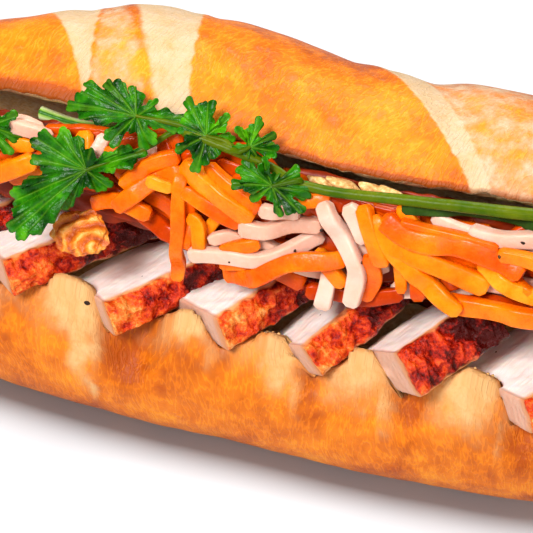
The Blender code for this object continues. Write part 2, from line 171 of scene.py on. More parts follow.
# A unit ball as rings of points around the z axis, which leave a small gap in radians at each pole
def ballRings(rows, count, gap=0.02):
    polar = np.linspace(gap, math.pi - gap, rows)[:, None]
    turn = np.linspace(0, 2 * math.pi, count, endpoint=False)
    return np.stack(
        np.broadcast_arrays(np.sin(polar) * np.cos(turn), np.sin(polar) * np.sin(turn), np.cos(polar)), -1
    )


# The same line with evenly spaced points: y, z and the run along it
def evenly(y, z, count):
    run = np.concatenate(([0], np.cumsum(np.hypot(np.diff(y), np.diff(z)))))
    at = np.linspace(0, run[-1], count)
    return np.interp(at, run, y), np.interp(at, run, z), at


# Runs a node group on an object, with its inputs set by their sockets' identifiers, and keeps the plain mesh
def grow(source, name, tree, **inputs):
    bpy.context.scene.collection.objects.link(source)
    modifier = source.modifiers.new(name, "NODES")
    modifier.node_group = tree
    for item in tree.interface.items_tree:
        if item.name in inputs and item.in_out == "INPUT":
            modifier[item.identifier] = inputs[item.name]
    bpy.context.view_layer.update()
    graph = bpy.context.evaluated_depsgraph_get()
    mesh = bpy.data.meshes.new_from_object(source.evaluated_get(graph))
    source.modifiers.remove(modifier)
    bpy.data.objects.remove(source)
    piece = bpy.data.objects.new(name, mesh)
    bpy.context.scene.collection.objects.link(piece)
    return piece


def place(piece, slotName, *nodes):
    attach(piece, body)
    if nodes:
        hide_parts(*nodes)


# Camera: the photograph is square, and its view is given by one place, one target and one scale
camera = dict(azimuth=17, elevation=45, distance=450, target=(-4, 0, 34.5), millimetresPerPixel=0.243)
pictureSize = 533
sensorWidth = 36.0


# Directions to the right of the picture, up it and back towards the camera
def cameraAxes():
    turn, lift = math.radians(camera["azimuth"]), math.radians(camera["elevation"])
    back = np.array((math.sin(turn) * math.cos(lift), -math.cos(turn) * math.cos(lift), math.sin(lift)))
    right = np.array((math.cos(turn), math.sin(turn), 0.0))
    return right, np.cross(back, right), back


# Where the line of sight through a pixel of the photograph meets a plane, given by a point on it and its
# normal
def fromPicture(pixel, point, normal):
    right, up, back = cameraAxes()
    eye = np.array(camera["target"]) + back * camera["distance"]
    perPixel = camera["millimetresPerPixel"] / camera["distance"]
    sight = (right * (pixel[0] - pictureSize / 2) - up * (pixel[1] - pictureSize / 2)) * perPixel - back
    return eye + sight * ((np.array(point) - eye) @ normal) / (sight @ normal)


def makeCamera():
    back = Vector(cameraAxes()[2])
    data = bpy.data.cameras.new("studioCamera")
    data.sensor_width = sensorWidth
    data.lens = sensorWidth * camera["distance"] / (camera["millimetresPerPixel"] * pictureSize)
    data.clip_start = 0.01
    made = bpy.data.objects.new("studioCamera", data)
    bpy.context.scene.collection.objects.link(made)
    made.location = (Vector(camera["target"]) + back * camera["distance"]) * mm
    made.rotation_euler = back.to_track_quat("Z", "Y").to_euler()
    bpy.context.scene.camera = made


# Light: a white room, a soft box behind, the main one in front on the left, which reaches in under the heap
# to the meat, and a weak one low on the right for the rinds. The floor has its own, nearly overhead, so that
# it is white with a short soft shadow.
studio = dict(
    room=0.24, mirroredRoom=0.1, aim=(0, 0, 40), floor="#CFD2D5", floorGrain="#D2D5D8", floorReach=3000,
    floorDrop=0.05,
    lamps=dict(
        back=dict(place=(40, 320, 640), size=240, power=4.2, onFloor="EXCLUDE"),
        key=dict(place=(-150, -450, 640), size=240, power=8.0, onFloor="EXCLUDE"),
        fill=dict(place=(260, -480, 400), size=260, power=1.0),
        floor=dict(place=(0, -60, 900), size=560, power=13.8, onFloor="INCLUDE"),
    ),
)


def makeStudio():
    world = bpy.data.worlds.new("whiteRoom")
    bpy.context.scene.world = world
    world.use_nodes = True
    tree = world.node_tree
    ray = addNode(tree, "LightPath").outputs["Is Glossy Ray"]
    strength = addNode(tree, "MapRange", {0: ray, 3: studio["room"], 4: studio["mirroredRoom"]}).outputs[0]
    tree.nodes["Background"].inputs["Color"].default_value = (1, 1, 1, 1)
    tree.links.new(strength, tree.nodes["Background"].inputs["Strength"])
    finish, tree = newMaterial("paintedStudioFloor")
    grain = addNode(tree, "TexNoise", {"Scale": 40.0})
    tone = addNode(
        tree, "Mix", {0: grain.outputs["Fac"], 6: studio["floor"], 7: studio["floorGrain"]}, data_type="RGBA"
    )
    finishMaterial(tree, tone.outputs[2], 0.9, grain.outputs["Fac"], 0.01 * mm)
    reach, drop = studio["floorReach"], studio["floorDrop"]
    corners = [(-reach, -reach, -drop), (reach, -reach, -drop), (reach, reach, -drop), (-reach, reach, -drop)]
    floor = meshPiece("studioFloor", corners, [[0, 1, 2, 3]], finish)
    for name, settings in studio["lamps"].items():
        data = bpy.data.lights.new(name + "Light", "AREA")
        data.energy = settings["power"]
        data.size = settings["size"] * mm
        lamp = bpy.data.objects.new(name + "Light", data)
        bpy.context.scene.collection.objects.link(lamp)
        lamp.location = Vector(settings["place"]) * mm
        lamp.rotation_euler = (lamp.location - Vector(studio["aim"]) * mm).to_track_quat("Z", "Y").to_euler()
        if "onFloor" in settings:
            lit = bpy.data.collections.new(name + "Lit")
            lit.objects.link(floor)
            lit.collection_objects[0].light_linking.link_state = settings["onFloor"]
            lamp.light_linking.receiver_collection = lit
    bpy.context.scene.view_settings.view_transform = "Standard"


makeCamera()
makeStudio()
print("camera and studio made")

# The loaf, with the same named sizes as the model's source
loaf = dict(
    length=220.0, halfWidth=38.0, widestHeight=20.0, baseDepth=22.0, shoulderDepth=26.7, cutHeight=38.0,
    crownDepth=28.3, crownHalfWidth=36.0, crownY=1.5, axisHeight=28.0, tipDrop=3.0, bulgePower=2.4,
    taperPower=3.6, taperRoot=2.9, hingeY=27.0, openAngle=50.0, troughDepth=17.0, troughHalfWidth=28.5,
    crownHollow=7.0, crownHollowHalfWidth=31.0, stations=330, crustPoints=128, crumbPoints=56,
)
# Swells and dents as place along the loaf, rise and half width
rimWaves = (
    (-60, -1.5, 8), (-44, 4.5, 9), (-27, -4.5, 8), (-12, 2.5, 7), (30, 2.0, 9), (51, 3.0, 8), (68, -1.5, 8)
)
crownWaves = ((-74, -5.0, 20), (-32, 4.3, 28), (12, -0.8, 8))
gapeWaves = ((-75, 2.0, 30), (24, -1.9, 24))
# Slashes as place at the rim, lean towards the back, half width and depth
slashes = ((-76, -8, 5, 1.4), (-46, -9, 5, 1.6), (-20, -10, 7, 1.2), (47, -26, 6, 1.8), (82, -14, 5, 1.4))
# Pale bands where a slash opened late in the oven, as the left and right edge at the rim with their leans,
# then the softness of each edge and the strength: below 1 the band breaks up into mottles
crownBands = (
    (-43.3, -56, -42.6, -22, 1.6, 0.9, 1.0), (-42, -22, -28, -46, 2.0, 4.0, 0.47),
    (-26, -46, -19, -19, 4.0, 0.8, 1.0), (45.5, -74, 50, -58, 0.9, 2.5, 1.0),
    (50, -58, 69, -40, 2.0, 6.0, 0.5), (86, -30, 92, -24, 1.0, 2.0, 0.9), (-82, -16, -76, -12, 2.0, 1.0, 0.8),
)
# The same on the front of the bottom half, as patches that hang from the lip: place along the loaf, depth at
# full strength, half width, the further depth in which the patch fades, and strength
paleLip = (
    (-41, 2, 9.5, 8, 1.0), (-38.8, 13, 3.4, 10, 0.9), (-66, 1, 9, 6, 0.6), (-13, 0.4, 5.5, 2.6, 0.95),
    (9.5, 2, 6.5, 8, 0.85), (28, 1.5, 9.5, 8, 0.85), (52, 2, 9.5, 9, 0.9), (80, 2, 9, 8, 0.75),
    (-86, 2, 8, 7, 0.6),
)
# Painted shadow under the corners of the pork, as brown patches on the crust, in the same way
stains = (
    (-29, 4, 8, 6, 0.8), (-4.5, 2, 3, 5, 0.6), (17, 3, 4, 6, 0.7), (40, 6, 5, 7, 0.8), (67, 6, 6, 8, 0.8),
    (-58, 2, 7, 5, 0.5),
)
crumbSwell = dict(rise=6.5, middle=6.0, width=5.5)
# Dents in the crust under the corners of the pork: place along the loaf, half width, depth
dents = ((-26, 7, 2.6), (17.5, 4.5, 2.2), (39.5, 5.0, 2.6), (67, 6, 2.0), (-70, 7, 1.5))

slabs = (
    dict(corner=(-82.0, -30.5, 49.5), heading=45, rise=2, lean=24, length=30, depth=26, thick=9.0),
    dict(corner=(-57.0, -33.0, 52.0), heading=46, rise=2, lean=23, length=38, depth=27, thick=9.5),
    dict(corner=(-32.3, -33.5, 46.0), heading=47, rise=4, lean=25, length=29, depth=27, thick=9.3),
    dict(corner=(-5.3, -33.0, 49.0), heading=54, rise=4, lean=24, length=27, depth=27, thick=9.3),
    dict(corner=(15.0, -33.5, 46.8), heading=57, rise=13, lean=41, length=27, depth=26, thick=9.0),
    dict(corner=(36.8, -34.5, 52.6), heading=53, rise=8, lean=42, length=25, depth=25, thick=11.8),
    dict(corner=(66.0, -34.0, 45.5), heading=50, rise=3, lean=25, length=32, depth=32, thick=9.0),
    dict(corner=(87.5, -26.5, 46.5), heading=52, rise=3, lean=24, length=22, depth=24, thick=8.5),
)


def waves(x, swells):
    return sum(rise * np.exp(-(((x - middle) / width) ** 2)) for middle, rise, width in swells)


def swell(x):
    along = np.minimum(1.0, np.abs(2 * x / loaf["length"]))
    return (1 - along ** loaf["taperPower"]) ** (1 / loaf["taperRoot"])


def rounded(turn):
    power = 2 / loaf["bulgePower"]
    c, s = np.cos(turn), np.sin(turn)
    return np.copysign(np.abs(c) ** power, c), np.copysign(np.abs(s) ** power, s)


def inSection(x, y, z):
    share = swell(x)
    axis = loaf["axisHeight"] - loaf["tipDrop"] * (1 - share)
    return y * share, axis + (z - loaf["axisHeight"]) * share


def opened(x, y, z):
    angle = np.radians(loaf["openAngle"] + waves(x, gapeWaves))
    c, s = np.cos(angle), np.sin(angle)
    dy, dz = y - loaf["hingeY"], z - loaf["cutHeight"]
    return loaf["hingeY"] + dy * c + dz * s, loaf["cutHeight"] - dy * s + dz * c


def stations(count, reach=0.997):
    return loaf["length"] / 2 * np.sin(math.pi / 2 * reach * (2 * np.arange(count) / (count - 1) - 1))


def slabAxes(slab):
    turn, rise, lean = (math.radians(slab[key]) for key in ("heading", "rise", "lean"))
    along = np.array((math.cos(turn) * math.cos(rise), math.sin(turn) * math.cos(rise), math.sin(rise)))
    outward = np.array((math.sin(turn), -math.cos(turn), 0.0))
    upward = np.cross(outward, along)
    rind = outward * math.cos(lean) + upward * math.sin(lean)
    return along, -rind, outward * math.sin(lean) - upward * math.cos(lean)


# Pushes crumb and crust down where a slab of pork lies in it
def pressBySlabs(points):
    for slab in slabs:
        axes = np.array(slabAxes(slab))
        local = (points - np.array(slab["corner"])) @ axes.T
        along, inward, down = (local[..., k] for k in range(3))
        within = (along > -0.5) & (along < slab["length"]) & (inward > -0.6) & (inward < slab["depth"])
        within &= (down > -1) & (down < slab["thick"] + 0.4)
        points = points + np.where(within, slab["thick"] + 0.4 - down, 0)[..., None] * axes[2]
    return points


def bandMask(at, across, bands):
    mask = np.zeros(np.broadcast(at, across).shape)
    for left, leftLean, right, rightLean, softLeft, softRight, strength in bands:
        taper = 0.5 * (right - left) * smooth((across - 0.36) / 0.3)
        edge = smooth((at - left - leftLean * across - taper) / softLeft + 0.5)
        edge = edge * smooth((right + rightLean * across - taper - at) / softRight + 0.5)
        mask = np.maximum(mask, edge * strength)
    return mask


def patchMask(at, below, patches, narrowing=0.0):
    inside = [
        power * np.exp(-np.abs((at - middle) / width * (1 + narrowing * below)) ** 2.4)
        * np.exp(-((np.maximum(0, below - deep) / height) ** 1.6))
        for middle, deep, width, height, power in patches
    ]
    return np.max(np.broadcast_arrays(*inside), axis=0)


# A torn lip: how much a point near a cut edge moves, by its distance from the edge
def tornLip(x, girth, seed):
    line = np.stack([x, np.full_like(x, seed), np.zeros_like(x)], -1)
    ragged = 1.3 * lumps(line, 6.0, seed) + 0.9 * lumps(line, 2.6, seed) + 0.6 * lumps(line, 1.2, seed)
    return ragged[:, None] * np.exp(-((girth / 1.8) ** 2))


# Baked crust over crumb. The eye sees thin gold skin with fine drag wrinkles from the rising dough, paler
# where a slash opened late, brown where it bulged towards the heat, and white open crumb at the cut. The
# brown also carries painted shade, under the corners of the pork and along the crown's cut rim.
crust = dict(
    wrinkleWidth=1.5, wrinkleLength=4.5, swirl=5, poreSize=1.1,
    gold=((0.0, "#E8AA42"), (0.3, "#E29928"), (0.52, "#DB8212"), (0.75, "#C96608"), (1.0, "#A04404")),
    crumb=((0.0, "#D0944E"), (0.4, "#E4B87C"), (1.0, "#F0D4A8")),
    # The darkest brown, for scorched crust and for strong painted shade
    brown="#7E3A0A",
    halves=dict(
        bakedWheatCrustOfBase=dict(
            wrinkleTurn=82, shift=3.0, contrast=0.13, darker=0.27, brokenness=0.6,
            pale=((0.0, "#C08340"), (0.45, "#CC985C"), (1.0, "#DAB682")),
        ),
        bakedWheatCrustOfCrown=dict(
            wrinkleTurn=70, shift=41.0, contrast=0.14, darker=0.15, brokenness=1.5,
            pale=((0.0, "#BC8A50"), (0.45, "#C09E74"), (1.0, "#C6B29C")),
        ),
    ),
)


def crustMaterial(name):
    look = crust["halves"][name]
    made, tree = newMaterial(name)
    where = addNode(tree, "Attribute", attribute_name="loafPlace").outputs["Vector"]
    bake = addNode(tree, "Attribute", attribute_name="bake").outputs["Vector"]
    paleness, browning, crumbliness = addNode(tree, "SeparateXYZ", (bake,)).outputs

    swirl = addNode(tree, "TexNoise", {"Vector": where, "Scale": 1 / 26, "Detail": 1.0})
    offset = addNode(tree, "VectorMath", (swirl.outputs["Color"], (0.5, 0.5, 0.5)), operation="SUBTRACT")
    bent = addNode(tree, "VectorMath", (offset, (crust["swirl"] * 2.2,) * 3, where), operation="MULTIPLY_ADD")
    turned = addNode(
        tree, "Mapping",
        {
            "Vector": bent, "Location": (look["shift"], 0, 0),
            "Rotation": (0, 0, math.radians(look["wrinkleTurn"])),
            "Scale": (crust["wrinkleLength"], crust["wrinkleWidth"], 20),
        },
        vector_type="TEXTURE",
    )
    folds = addNode(tree, "TexNoise", {"Vector": turned, "Scale": 1.0, "Detail": 2.0})
    folds = addNode(tree, "Math", (folds, 0.5), operation="SUBTRACT")
    folds = addNode(tree, "Math", (folds,), operation="ABSOLUTE")
    wrinkles = addNode(tree, "MapRange", (folds, 0.0, 0.075, 1.0, 0.0), interpolation_type="SMOOTHSTEP")
    blotches = addNode(tree, "TexNoise", {"Vector": where, "Scale": 1 / 17, "Detail": 3.0})
    mottles = addNode(tree, "TexNoise", {"Vector": where, "Scale": 1 / 4.2, "Detail": 6.0, "Roughness": 0.62})
    grain = addNode(tree, "TexNoise", {"Vector": where, "Scale": 1 / 0.7, "Detail": 2.0})

    tone = addNode(tree, "Math", (blotches, 0.8, look["darker"] + 0.08), operation="MULTIPLY_ADD")
    tone = addNode(tree, "Math", (tone, 0.35 * look["contrast"]), operation="ADD")
    tone = addNode(tree, "Math", (wrinkles, -look["contrast"], tone), operation="MULTIPLY_ADD")
    tone = addNode(tree, "Math", (tone, 0.25), operation="SUBTRACT")
    tone = addNode(tree, "Math", (mottles, 0.5, tone), operation="MULTIPLY_ADD")
    # The browning channel holds real browning and painted shade; it darkens the gold and, where strong, turns
    # it to the darkest brown
    tone = addNode(tree, "Math", (browning, 0.62, tone), operation="MULTIPLY_ADD", use_clamp=True)
    gold = addNode(tree, "ValToRGB", (tone,), stops=crust["gold"])
    paleTone = addNode(tree, "Math", (grain, 0.25), operation="MULTIPLY")
    paleTone = addNode(tree, "Math", (mottles, 0.8, paleTone), operation="MULTIPLY_ADD", use_clamp=True)
    pale = addNode(tree, "ValToRGB", (paleTone,), stops=look["pale"])
    broken = addNode(tree, "Math", (mottles, 0.5), operation="SUBTRACT")
    broken = addNode(tree, "Math", (broken, look["brokenness"], paleness), operation="MULTIPLY_ADD")
    paleMask = addNode(tree, "MapRange", (broken, 0.1, 0.9), interpolation_type="SMOOTHSTEP")
    skin = addNode(tree, "Mix", {0: paleMask, 6: gold, 7: pale}, data_type="RGBA").outputs[2]
    scorch = addNode(tree, "MapRange", (browning, 0.75, 1.5))
    skin = addNode(tree, "Mix", {0: scorch, 6: skin, 7: crust["brown"]}, data_type="RGBA").outputs[2]

    pores = addNode(tree, "TexVoronoi", {"Vector": where, "Scale": 1 / crust["poreSize"]}).outputs["Distance"]
    crumbTone = addNode(tree, "Math", (mottles, 0.6), operation="MULTIPLY")
    crumbTone = addNode(tree, "Math", (pores, 0.75, crumbTone), operation="MULTIPLY_ADD", use_clamp=True)
    crumb = addNode(tree, "ValToRGB", (crumbTone,), stops=crust["crumb"])
    torn = addNode(tree, "Math", (mottles, 0.5), operation="SUBTRACT")
    torn = addNode(tree, "Math", (torn, 0.9, crumbliness), operation="MULTIPLY_ADD")
    crumbMask = addNode(tree, "MapRange", (torn, 0.4, 0.6), interpolation_type="SMOOTHSTEP")
    colour = addNode(tree, "Mix", {0: crumbMask, 6: skin, 7: crumb}, data_type="RGBA").outputs[2]

    crustHeight = addNode(tree, "Math", (grain, 0.08), operation="MULTIPLY")
    crustHeight = addNode(tree, "Math", (mottles, 0.5, crustHeight), operation="MULTIPLY_ADD")
    crustHeight = addNode(tree, "Math", (wrinkles, 0.08, crustHeight), operation="MULTIPLY_ADD")
    crumbHeight = addNode(tree, "Math", (grain, 0.1), operation="MULTIPLY")
    crumbHeight = addNode(tree, "Math", (pores, 0.25, crumbHeight), operation="MULTIPLY_ADD")
    height = addNode(tree, "Mix", {0: crumbMask, 2: crustHeight, 3: crumbHeight})
    roughness = addNode(tree, "Math", (paleMask, 0.12, 0.46), operation="MULTIPLY_ADD")
    roughness = addNode(tree, "Math", (crumbMask, 0.35, roughness), operation="MULTIPLY_ADD")
    finishMaterial(
        tree, colour, roughness, height, Specular_IOR_Level=0.2, Subsurface_Weight=0.08,
        Subsurface_Radius=(3.0, 1.6, 0.7), Subsurface_Scale=mm, IOR=1.45,
    )
    return made


def bottomHalf(finish):
    level = ((loaf["cutHeight"] - loaf["widestHeight"]) / loaf["shoulderDepth"]) ** (loaf["bulgePower"] / 2)
    start = -math.asin(level)
    c, s = rounded(np.linspace(start, math.pi - start, 3000))
    depth = np.where(s > 0, loaf["baseDepth"], loaf["shoulderDepth"])
    y, z, girth = evenly(-loaf["halfWidth"] * c, loaf["widestHeight"] - depth * s, loaf["crustPoints"])
    innerY = np.linspace(y[-1], y[0], 2000)
    across = np.minimum(1, np.abs(innerY) / loaf["troughHalfWidth"])
    innerZ = loaf["cutHeight"] - loaf["troughDepth"] * (1 - across**2) ** 0.8
    innerY, innerZ, innerRun = (v[1:-1] for v in evenly(innerY, innerZ, loaf["crumbPoints"]))
    fromFrontRim = np.concatenate([girth, innerRun[-1] - innerRun])
    fromBackRim = np.concatenate([girth[-1] - girth, innerRun])
    crumb = np.concatenate([np.zeros_like(girth), np.ones_like(innerRun)])
    y, z = np.concatenate([y, innerY]), np.concatenate([z, innerZ])
    x = stations(loaf["stations"])[:, None]
    share = swell(x)
    nearRim = np.clip((z - 20) / 14, 0, 1) * np.clip((-y - 14) / 12, 0, 1)
    ringY, ringZ = inSection(x, y, z)
    ringZ = ringZ + waves(x, rimWaves) * nearRim * share
    rings = np.stack([np.broadcast_to(x, ringY.shape), ringY, ringZ], -1)
    outward = rings - np.array((0, 0, 24.0)) * np.array((0, 0, 1.0))
    outward[..., 0] = 0
    outward /= np.linalg.norm(outward, axis=-1, keepdims=True) + 1e-9
    uneven = (0.55 * lumps(rings, 19, 2) + 0.2 * lumps(rings, 6, 4)) * share * smooth(ringZ / 6)
    rings = rings + outward * uneven[..., None]
    for middle, width, deep in dents:
        dent = deep * np.exp(-(((x - middle) / width) ** 2)) * smooth((z - 24) / 12) * (y < 0) * share
        rings[..., 1] += dent * 0.9
        rings[..., 2] -= dent * 0.8
    lip = tornLip(x[:, 0], fromFrontRim, 3.1) + 0.5 * tornLip(x[:, 0], fromBackRim, 8.2)
    rings[..., 2] += lip * share
    rings[..., 1] += 0.5 * tornLip(x[:, 0], fromFrontRim, 5.7) * share
    rings[..., 2] += crumb * 0.35 * lumps(rings, 3.2, 6) * share
    underPork = np.exp(-(((fromFrontRim - crumbSwell["middle"]) / crumbSwell["width"]) ** 2)) * crumb
    rings[..., 2] += crumbSwell["rise"] * underPork * share * (y < 0)
    rings[..., 2] += 2.2 * np.exp(-((fromFrontRim / 3.0) ** 2)) * share * (np.abs(x) < 98)
    rings = pressBySlabs(rings)
    rings[..., 2] = np.maximum(rings[..., 2], 0.0)
    below = np.clip(rings[:, :1, 2] - rings[..., 2] + 1.5 * lumps(rings, 5.0, 23), 0, 40)
    wander = lumps(rings, 7.0, 21)
    at = x + 2.4 * wander
    front = rings[..., 1] < 0
    # Painted shadow under the pork's corners: it holds back the paleness and browns the crust
    soaked = patchMask(at, below, stains, 0.09) * front
    pale = np.maximum(patchMask(at, below, paleLip), 0.5 * np.exp(-((below / 6) ** 1.5)))
    pale = pale * front * (1 - 0.75 * soaked)
    brown = 0.22 * smooth((18 - rings[..., 2]) / 18) + 1.2 * smooth((1.6 - rings[..., 2]) / 1.4)
    brown = brown + 0.55 * soaked + 0.35 * smooth((np.abs(x) - 78) / 30) + 0.25 * (1 - front)
    torn = patchMask(x, 0 * x, paleLip)
    crumb = np.clip(crumb * smooth((fromFrontRim - 3.2 + 1.2 * wander) / 2.2), 0, 1)
    bake = np.stack(np.broadcast_arrays(pale, brown, crumb + 0 * x), -1)
    placeOn = np.stack(np.broadcast_arrays(x, fromFrontRim, crumb * 30), -1)
    loose = crumb * np.exp(-(((fromFrontRim - 4.5) / 2.5) ** 4)) * front
    loose = loose * (0.25 + 0.75 * torn) * (np.abs(x) < 100)
    return loft("breadBottomHalf", rings, finish, {"bake": bake, "loafPlace": placeOn, "strewn": loose})


def topHalf(finish):
    around = np.linspace(0, 1, 3000)
    c, s = rounded(math.pi * around)
    y, z = loaf["crownY"] - loaf["crownHalfWidth"] * c, loaf["cutHeight"] + loaf["crownDepth"] * s
    run = np.concatenate(([0], np.cumsum(np.hypot(np.diff(y), np.diff(z)))))
    girth = np.linspace(0, run[-1], loaf["crustPoints"])
    around = np.interp(girth, run, around)
    c, s = rounded(math.pi * around)
    x = stations(loaf["stations"])[:, None]
    share = swell(x)
    y = loaf["crownY"] - loaf["crownHalfWidth"] * c
    z = loaf["cutHeight"] + (loaf["crownDepth"] + waves(x, crownWaves)) * s
    y, z = inSection(x, y, z)
    sunk = sum(
        deep * np.exp(-(((x - middle - lean * around * 1.6) / width) ** 2))
        for middle, lean, width, deep in slashes
    ) * np.sin(math.pi * around) ** 0.5 * share
    closed = np.stack([np.broadcast_to(x, y.shape), y, z], -1)
    reach = np.maximum(1.0, np.hypot(y, z - loaf["cutHeight"]))
    swollen = 1 - sunk / reach + 0.018 * lumps(closed, 34, 3) + 0.007 * lumps(closed, 9, 5)
    for left, lean in [band[:2] if band[4] < 1 else band[2:4] for band in crownBands if band[6] == 1.0]:
        swollen = swollen + 0.016 * np.exp(-(((x - left - lean * around) / 2.2) ** 2)) * smooth(around * 9)
    outerY, outerZ = opened(x, y * swollen, loaf["cutHeight"] + (z - loaf["cutHeight"]) * swollen)
    innerY = loaf["crownY"] + loaf["crownHalfWidth"] * np.linspace(1, -1, loaf["crumbPoints"])[1:-1]
    across = np.minimum(1, np.abs(innerY - loaf["crownY"]) / loaf["crownHollowHalfWidth"])
    innerRun = innerY - innerY.min()
    innerY, innerZ = inSection(x, innerY, loaf["cutHeight"] + loaf["crownHollow"] * (1 - across**2))
    innerY, innerZ = opened(x, innerY, innerZ)
    ringY, ringZ = np.concatenate([outerY, innerY], 1), np.concatenate([outerZ, innerZ], 1)
    rings = np.stack([np.broadcast_to(x, ringY.shape), ringY, ringZ], -1)
    crumb = np.concatenate([np.zeros_like(girth), np.ones_like(innerRun)])
    fromFrontRim = np.concatenate([girth, innerRun])
    rings[..., 2] += 0.55 * tornLip(x[:, 0], fromFrontRim, 11.3) * share
    rings[..., 2] += crumb * 0.6 * lumps(rings, 2.6, 9) * share
    widerAround = np.concatenate([around, np.zeros_like(innerRun)])
    pale = bandMask(x, widerAround, crownBands) * (1 - crumb) * smooth((0.62 - widerAround) / 0.2)
    brown = 0.75 * smooth((widerAround - 0.2) / 0.3) + 0.3 * smooth((np.abs(x) - 78) / 30)
    # Along the crown's cut rim the brown is partly the crust's own cut edge and partly painted shade, wider
    # on the left where that edge lies in shade
    rimWidth = 1.3 + 1.6 * smooth((-28 - x) / 12)
    brown = brown + 0.95 * np.exp(-((fromFrontRim / rimWidth) ** 4))
    brown = brown + 0.3 * np.exp(-((fromFrontRim / 3.2) ** 2))
    bake = np.stack(np.broadcast_arrays(pale, brown, crumb + 0 * x), -1)
    placeOn = np.stack(np.broadcast_arrays(x, fromFrontRim, 60 + crumb * 30), -1)
    return loft("breadTopHalf", rings, finish, {"bake": bake, "loafPlace": placeOn})


place(bottomHalf(crustMaterial("bakedWheatCrustOfBase")), "crust", "bread")
place(topHalf(crustMaterial("bakedWheatCrustOfCrown")), "crust", "bread")
print("bread made")


# Roast pork. The rind is blistered, lacquered and almost black in its pits; behind it runs a thin tan layer
# of rendered fat, and the cut lean is pale, moist and faintly pink, with the fibres drawn by the knife.
pork = dict(
    sections=84, outline=124, relief=1.3, cragSize=4.2, cragHeight=1.8, fineSize=1.9, fineHeight=0.7,
    roast=(0.05, 0.02, -0.04, 0.04, 0.06, 0.26, 0.1, 0.1),
    rind=(
        (0.0, "#4A0602"), (0.22, "#A01404"), (0.42, "#D2380A"), (0.6, "#E25814"), (0.8, "#EC822E"),
        (1.0, "#F6AC60"),
    ),
    lean=((0.0, "#F4C2AC"), (0.35, "#FCDED0"), (0.6, "#FEEBE2"), (1.0, "#FFF6F0")), fat="#F0A468",
    # The last colour is painted shade for the slabs' end faces
    speck="#4B2A1C", sawn="#B27652",
)


def porkMaterial():
    made, tree = newMaterial("roastPorkWithRind")
    cut = addNode(tree, "Attribute", attribute_name="cutPlace").outputs["Vector"]
    crag = addNode(tree, "Attribute", attribute_name="crag").outputs["Fac"]
    roast = addNode(tree, "Attribute", attribute_name="roast").outputs["Fac"]
    along, inward, down = addNode(tree, "SeparateXYZ", (cut,)).outputs
    own = addNode(tree, "TexCoord").outputs["Object"]
    where = addNode(tree, "VectorMath", {0: own, "Scale": 1000.0}, operation="SCALE")

    patches = addNode(tree, "TexNoise", {"Vector": where, "Scale": 1 / 5, "Detail": 3.0})
    fine = addNode(tree, "TexNoise", {"Vector": where, "Scale": 1 / 1.1, "Detail": 4.0, "Roughness": 0.65})
    edge = addNode(tree, "Math", (patches, 0.5), operation="SUBTRACT")
    edge = addNode(tree, "Math", (edge, 2.2, inward), operation="MULTIPLY_ADD")
    tone = addNode(tree, "Math", (crag, 0.35, -0.37), operation="MULTIPLY_ADD")
    tone = addNode(tree, "Math", (patches, 1.5, tone), operation="MULTIPLY_ADD")
    tone = addNode(tree, "Math", (tone, 0.52), operation="SUBTRACT")
    tone = addNode(tree, "Math", (fine, 1.3, tone), operation="MULTIPLY_ADD")
    tone = addNode(tree, "Math", (tone, roast), operation="SUBTRACT")
    # Painted shade: the rind darkens along the slab, away from its near end
    tone = addNode(tree, "Math", (along, -0.024, tone), operation="MULTIPLY_ADD", use_clamp=True)
    rind = addNode(tree, "ValToRGB", (tone,), stops=pork["rind"])
    stretched = addNode(
        tree, "Mapping", {"Vector": cut, "Rotation": (0, 0, math.radians(20)), "Scale": (9, 1.3, 1.6)},
        vector_type="TEXTURE",
    )
    fibres = addNode(tree, "TexNoise", {"Vector": stretched, "Scale": 1.0, "Detail": 3.0})
    muscle = addNode(tree, "TexNoise", {"Vector": where, "Scale": 1 / 9, "Detail": 2.0})
    leanTone = addNode(tree, "Math", (muscle, 0.9, -0.25), operation="MULTIPLY_ADD")
    leanTone = addNode(tree, "Math", (fibres, 0.8, leanTone), operation="MULTIPLY_ADD", use_clamp=True)
    lean = addNode(tree, "ValToRGB", (leanTone,), stops=pork["lean"])
    cells = addNode(tree, "TexVoronoi", {"Vector": where, "Scale": 1 / 5.5})
    chosen = addNode(tree, "SeparateXYZ", (cells.outputs["Color"],))
    chosen = addNode(tree, "Math", (chosen, 0.62), operation="GREATER_THAN")
    speck = addNode(tree, "Math", (cells.outputs["Distance"], 0.075), operation="LESS_THAN")
    speck = addNode(tree, "Math", (speck, chosen), operation="MULTIPLY")
    lean = addNode(tree, "Mix", {0: speck, 6: lean, 7: pork["speck"]}, data_type="RGBA").outputs[2]
    toFat = addNode(tree, "MapRange", (edge, 0.5, 1.2), interpolation_type="SMOOTHSTEP")
    toLean = addNode(tree, "MapRange", (edge, 1.2, 3.2), interpolation_type="SMOOTHSTEP")
    fat = addNode(tree, "Mix", {0: toLean, 6: pork["fat"], 7: lean}, data_type="RGBA").outputs[2]
    # Painted shade: the slab's end faces are drawn tan-brown, as they stand in shade
    atEnd = addNode(tree, "MapRange", {0: along, 1: 1.0, 2: 0.2, 4: 0.8})
    fat = addNode(tree, "Mix", {0: atEnd, 6: fat, 7: pork["sawn"]}, data_type="RGBA").outputs[2]
    colour = addNode(tree, "Mix", {0: toFat, 6: rind, 7: fat}, data_type="RGBA").outputs[2]
    rindHeight = addNode(tree, "Math", (fine, 0.8), operation="MULTIPLY")
    leanHeight = addNode(tree, "Math", (fibres, 0.35), operation="MULTIPLY")
    height = addNode(tree, "Mix", {0: toFat, 2: rindHeight, 3: leanHeight})
    roughness = addNode(tree, "Math", (fine, 0.3, 0.1), operation="MULTIPLY_ADD")
    roughness = addNode(tree, "Math", (toFat, 0.2, roughness), operation="MULTIPLY_ADD")
    finishMaterial(
        tree, colour, roughness, height, Specular_IOR_Level=0.35, Subsurface_Weight=0.25,
        Subsurface_Radius=(2.4, 0.9, 0.5), Subsurface_Scale=mm, IOR=1.4,
    )
    return made


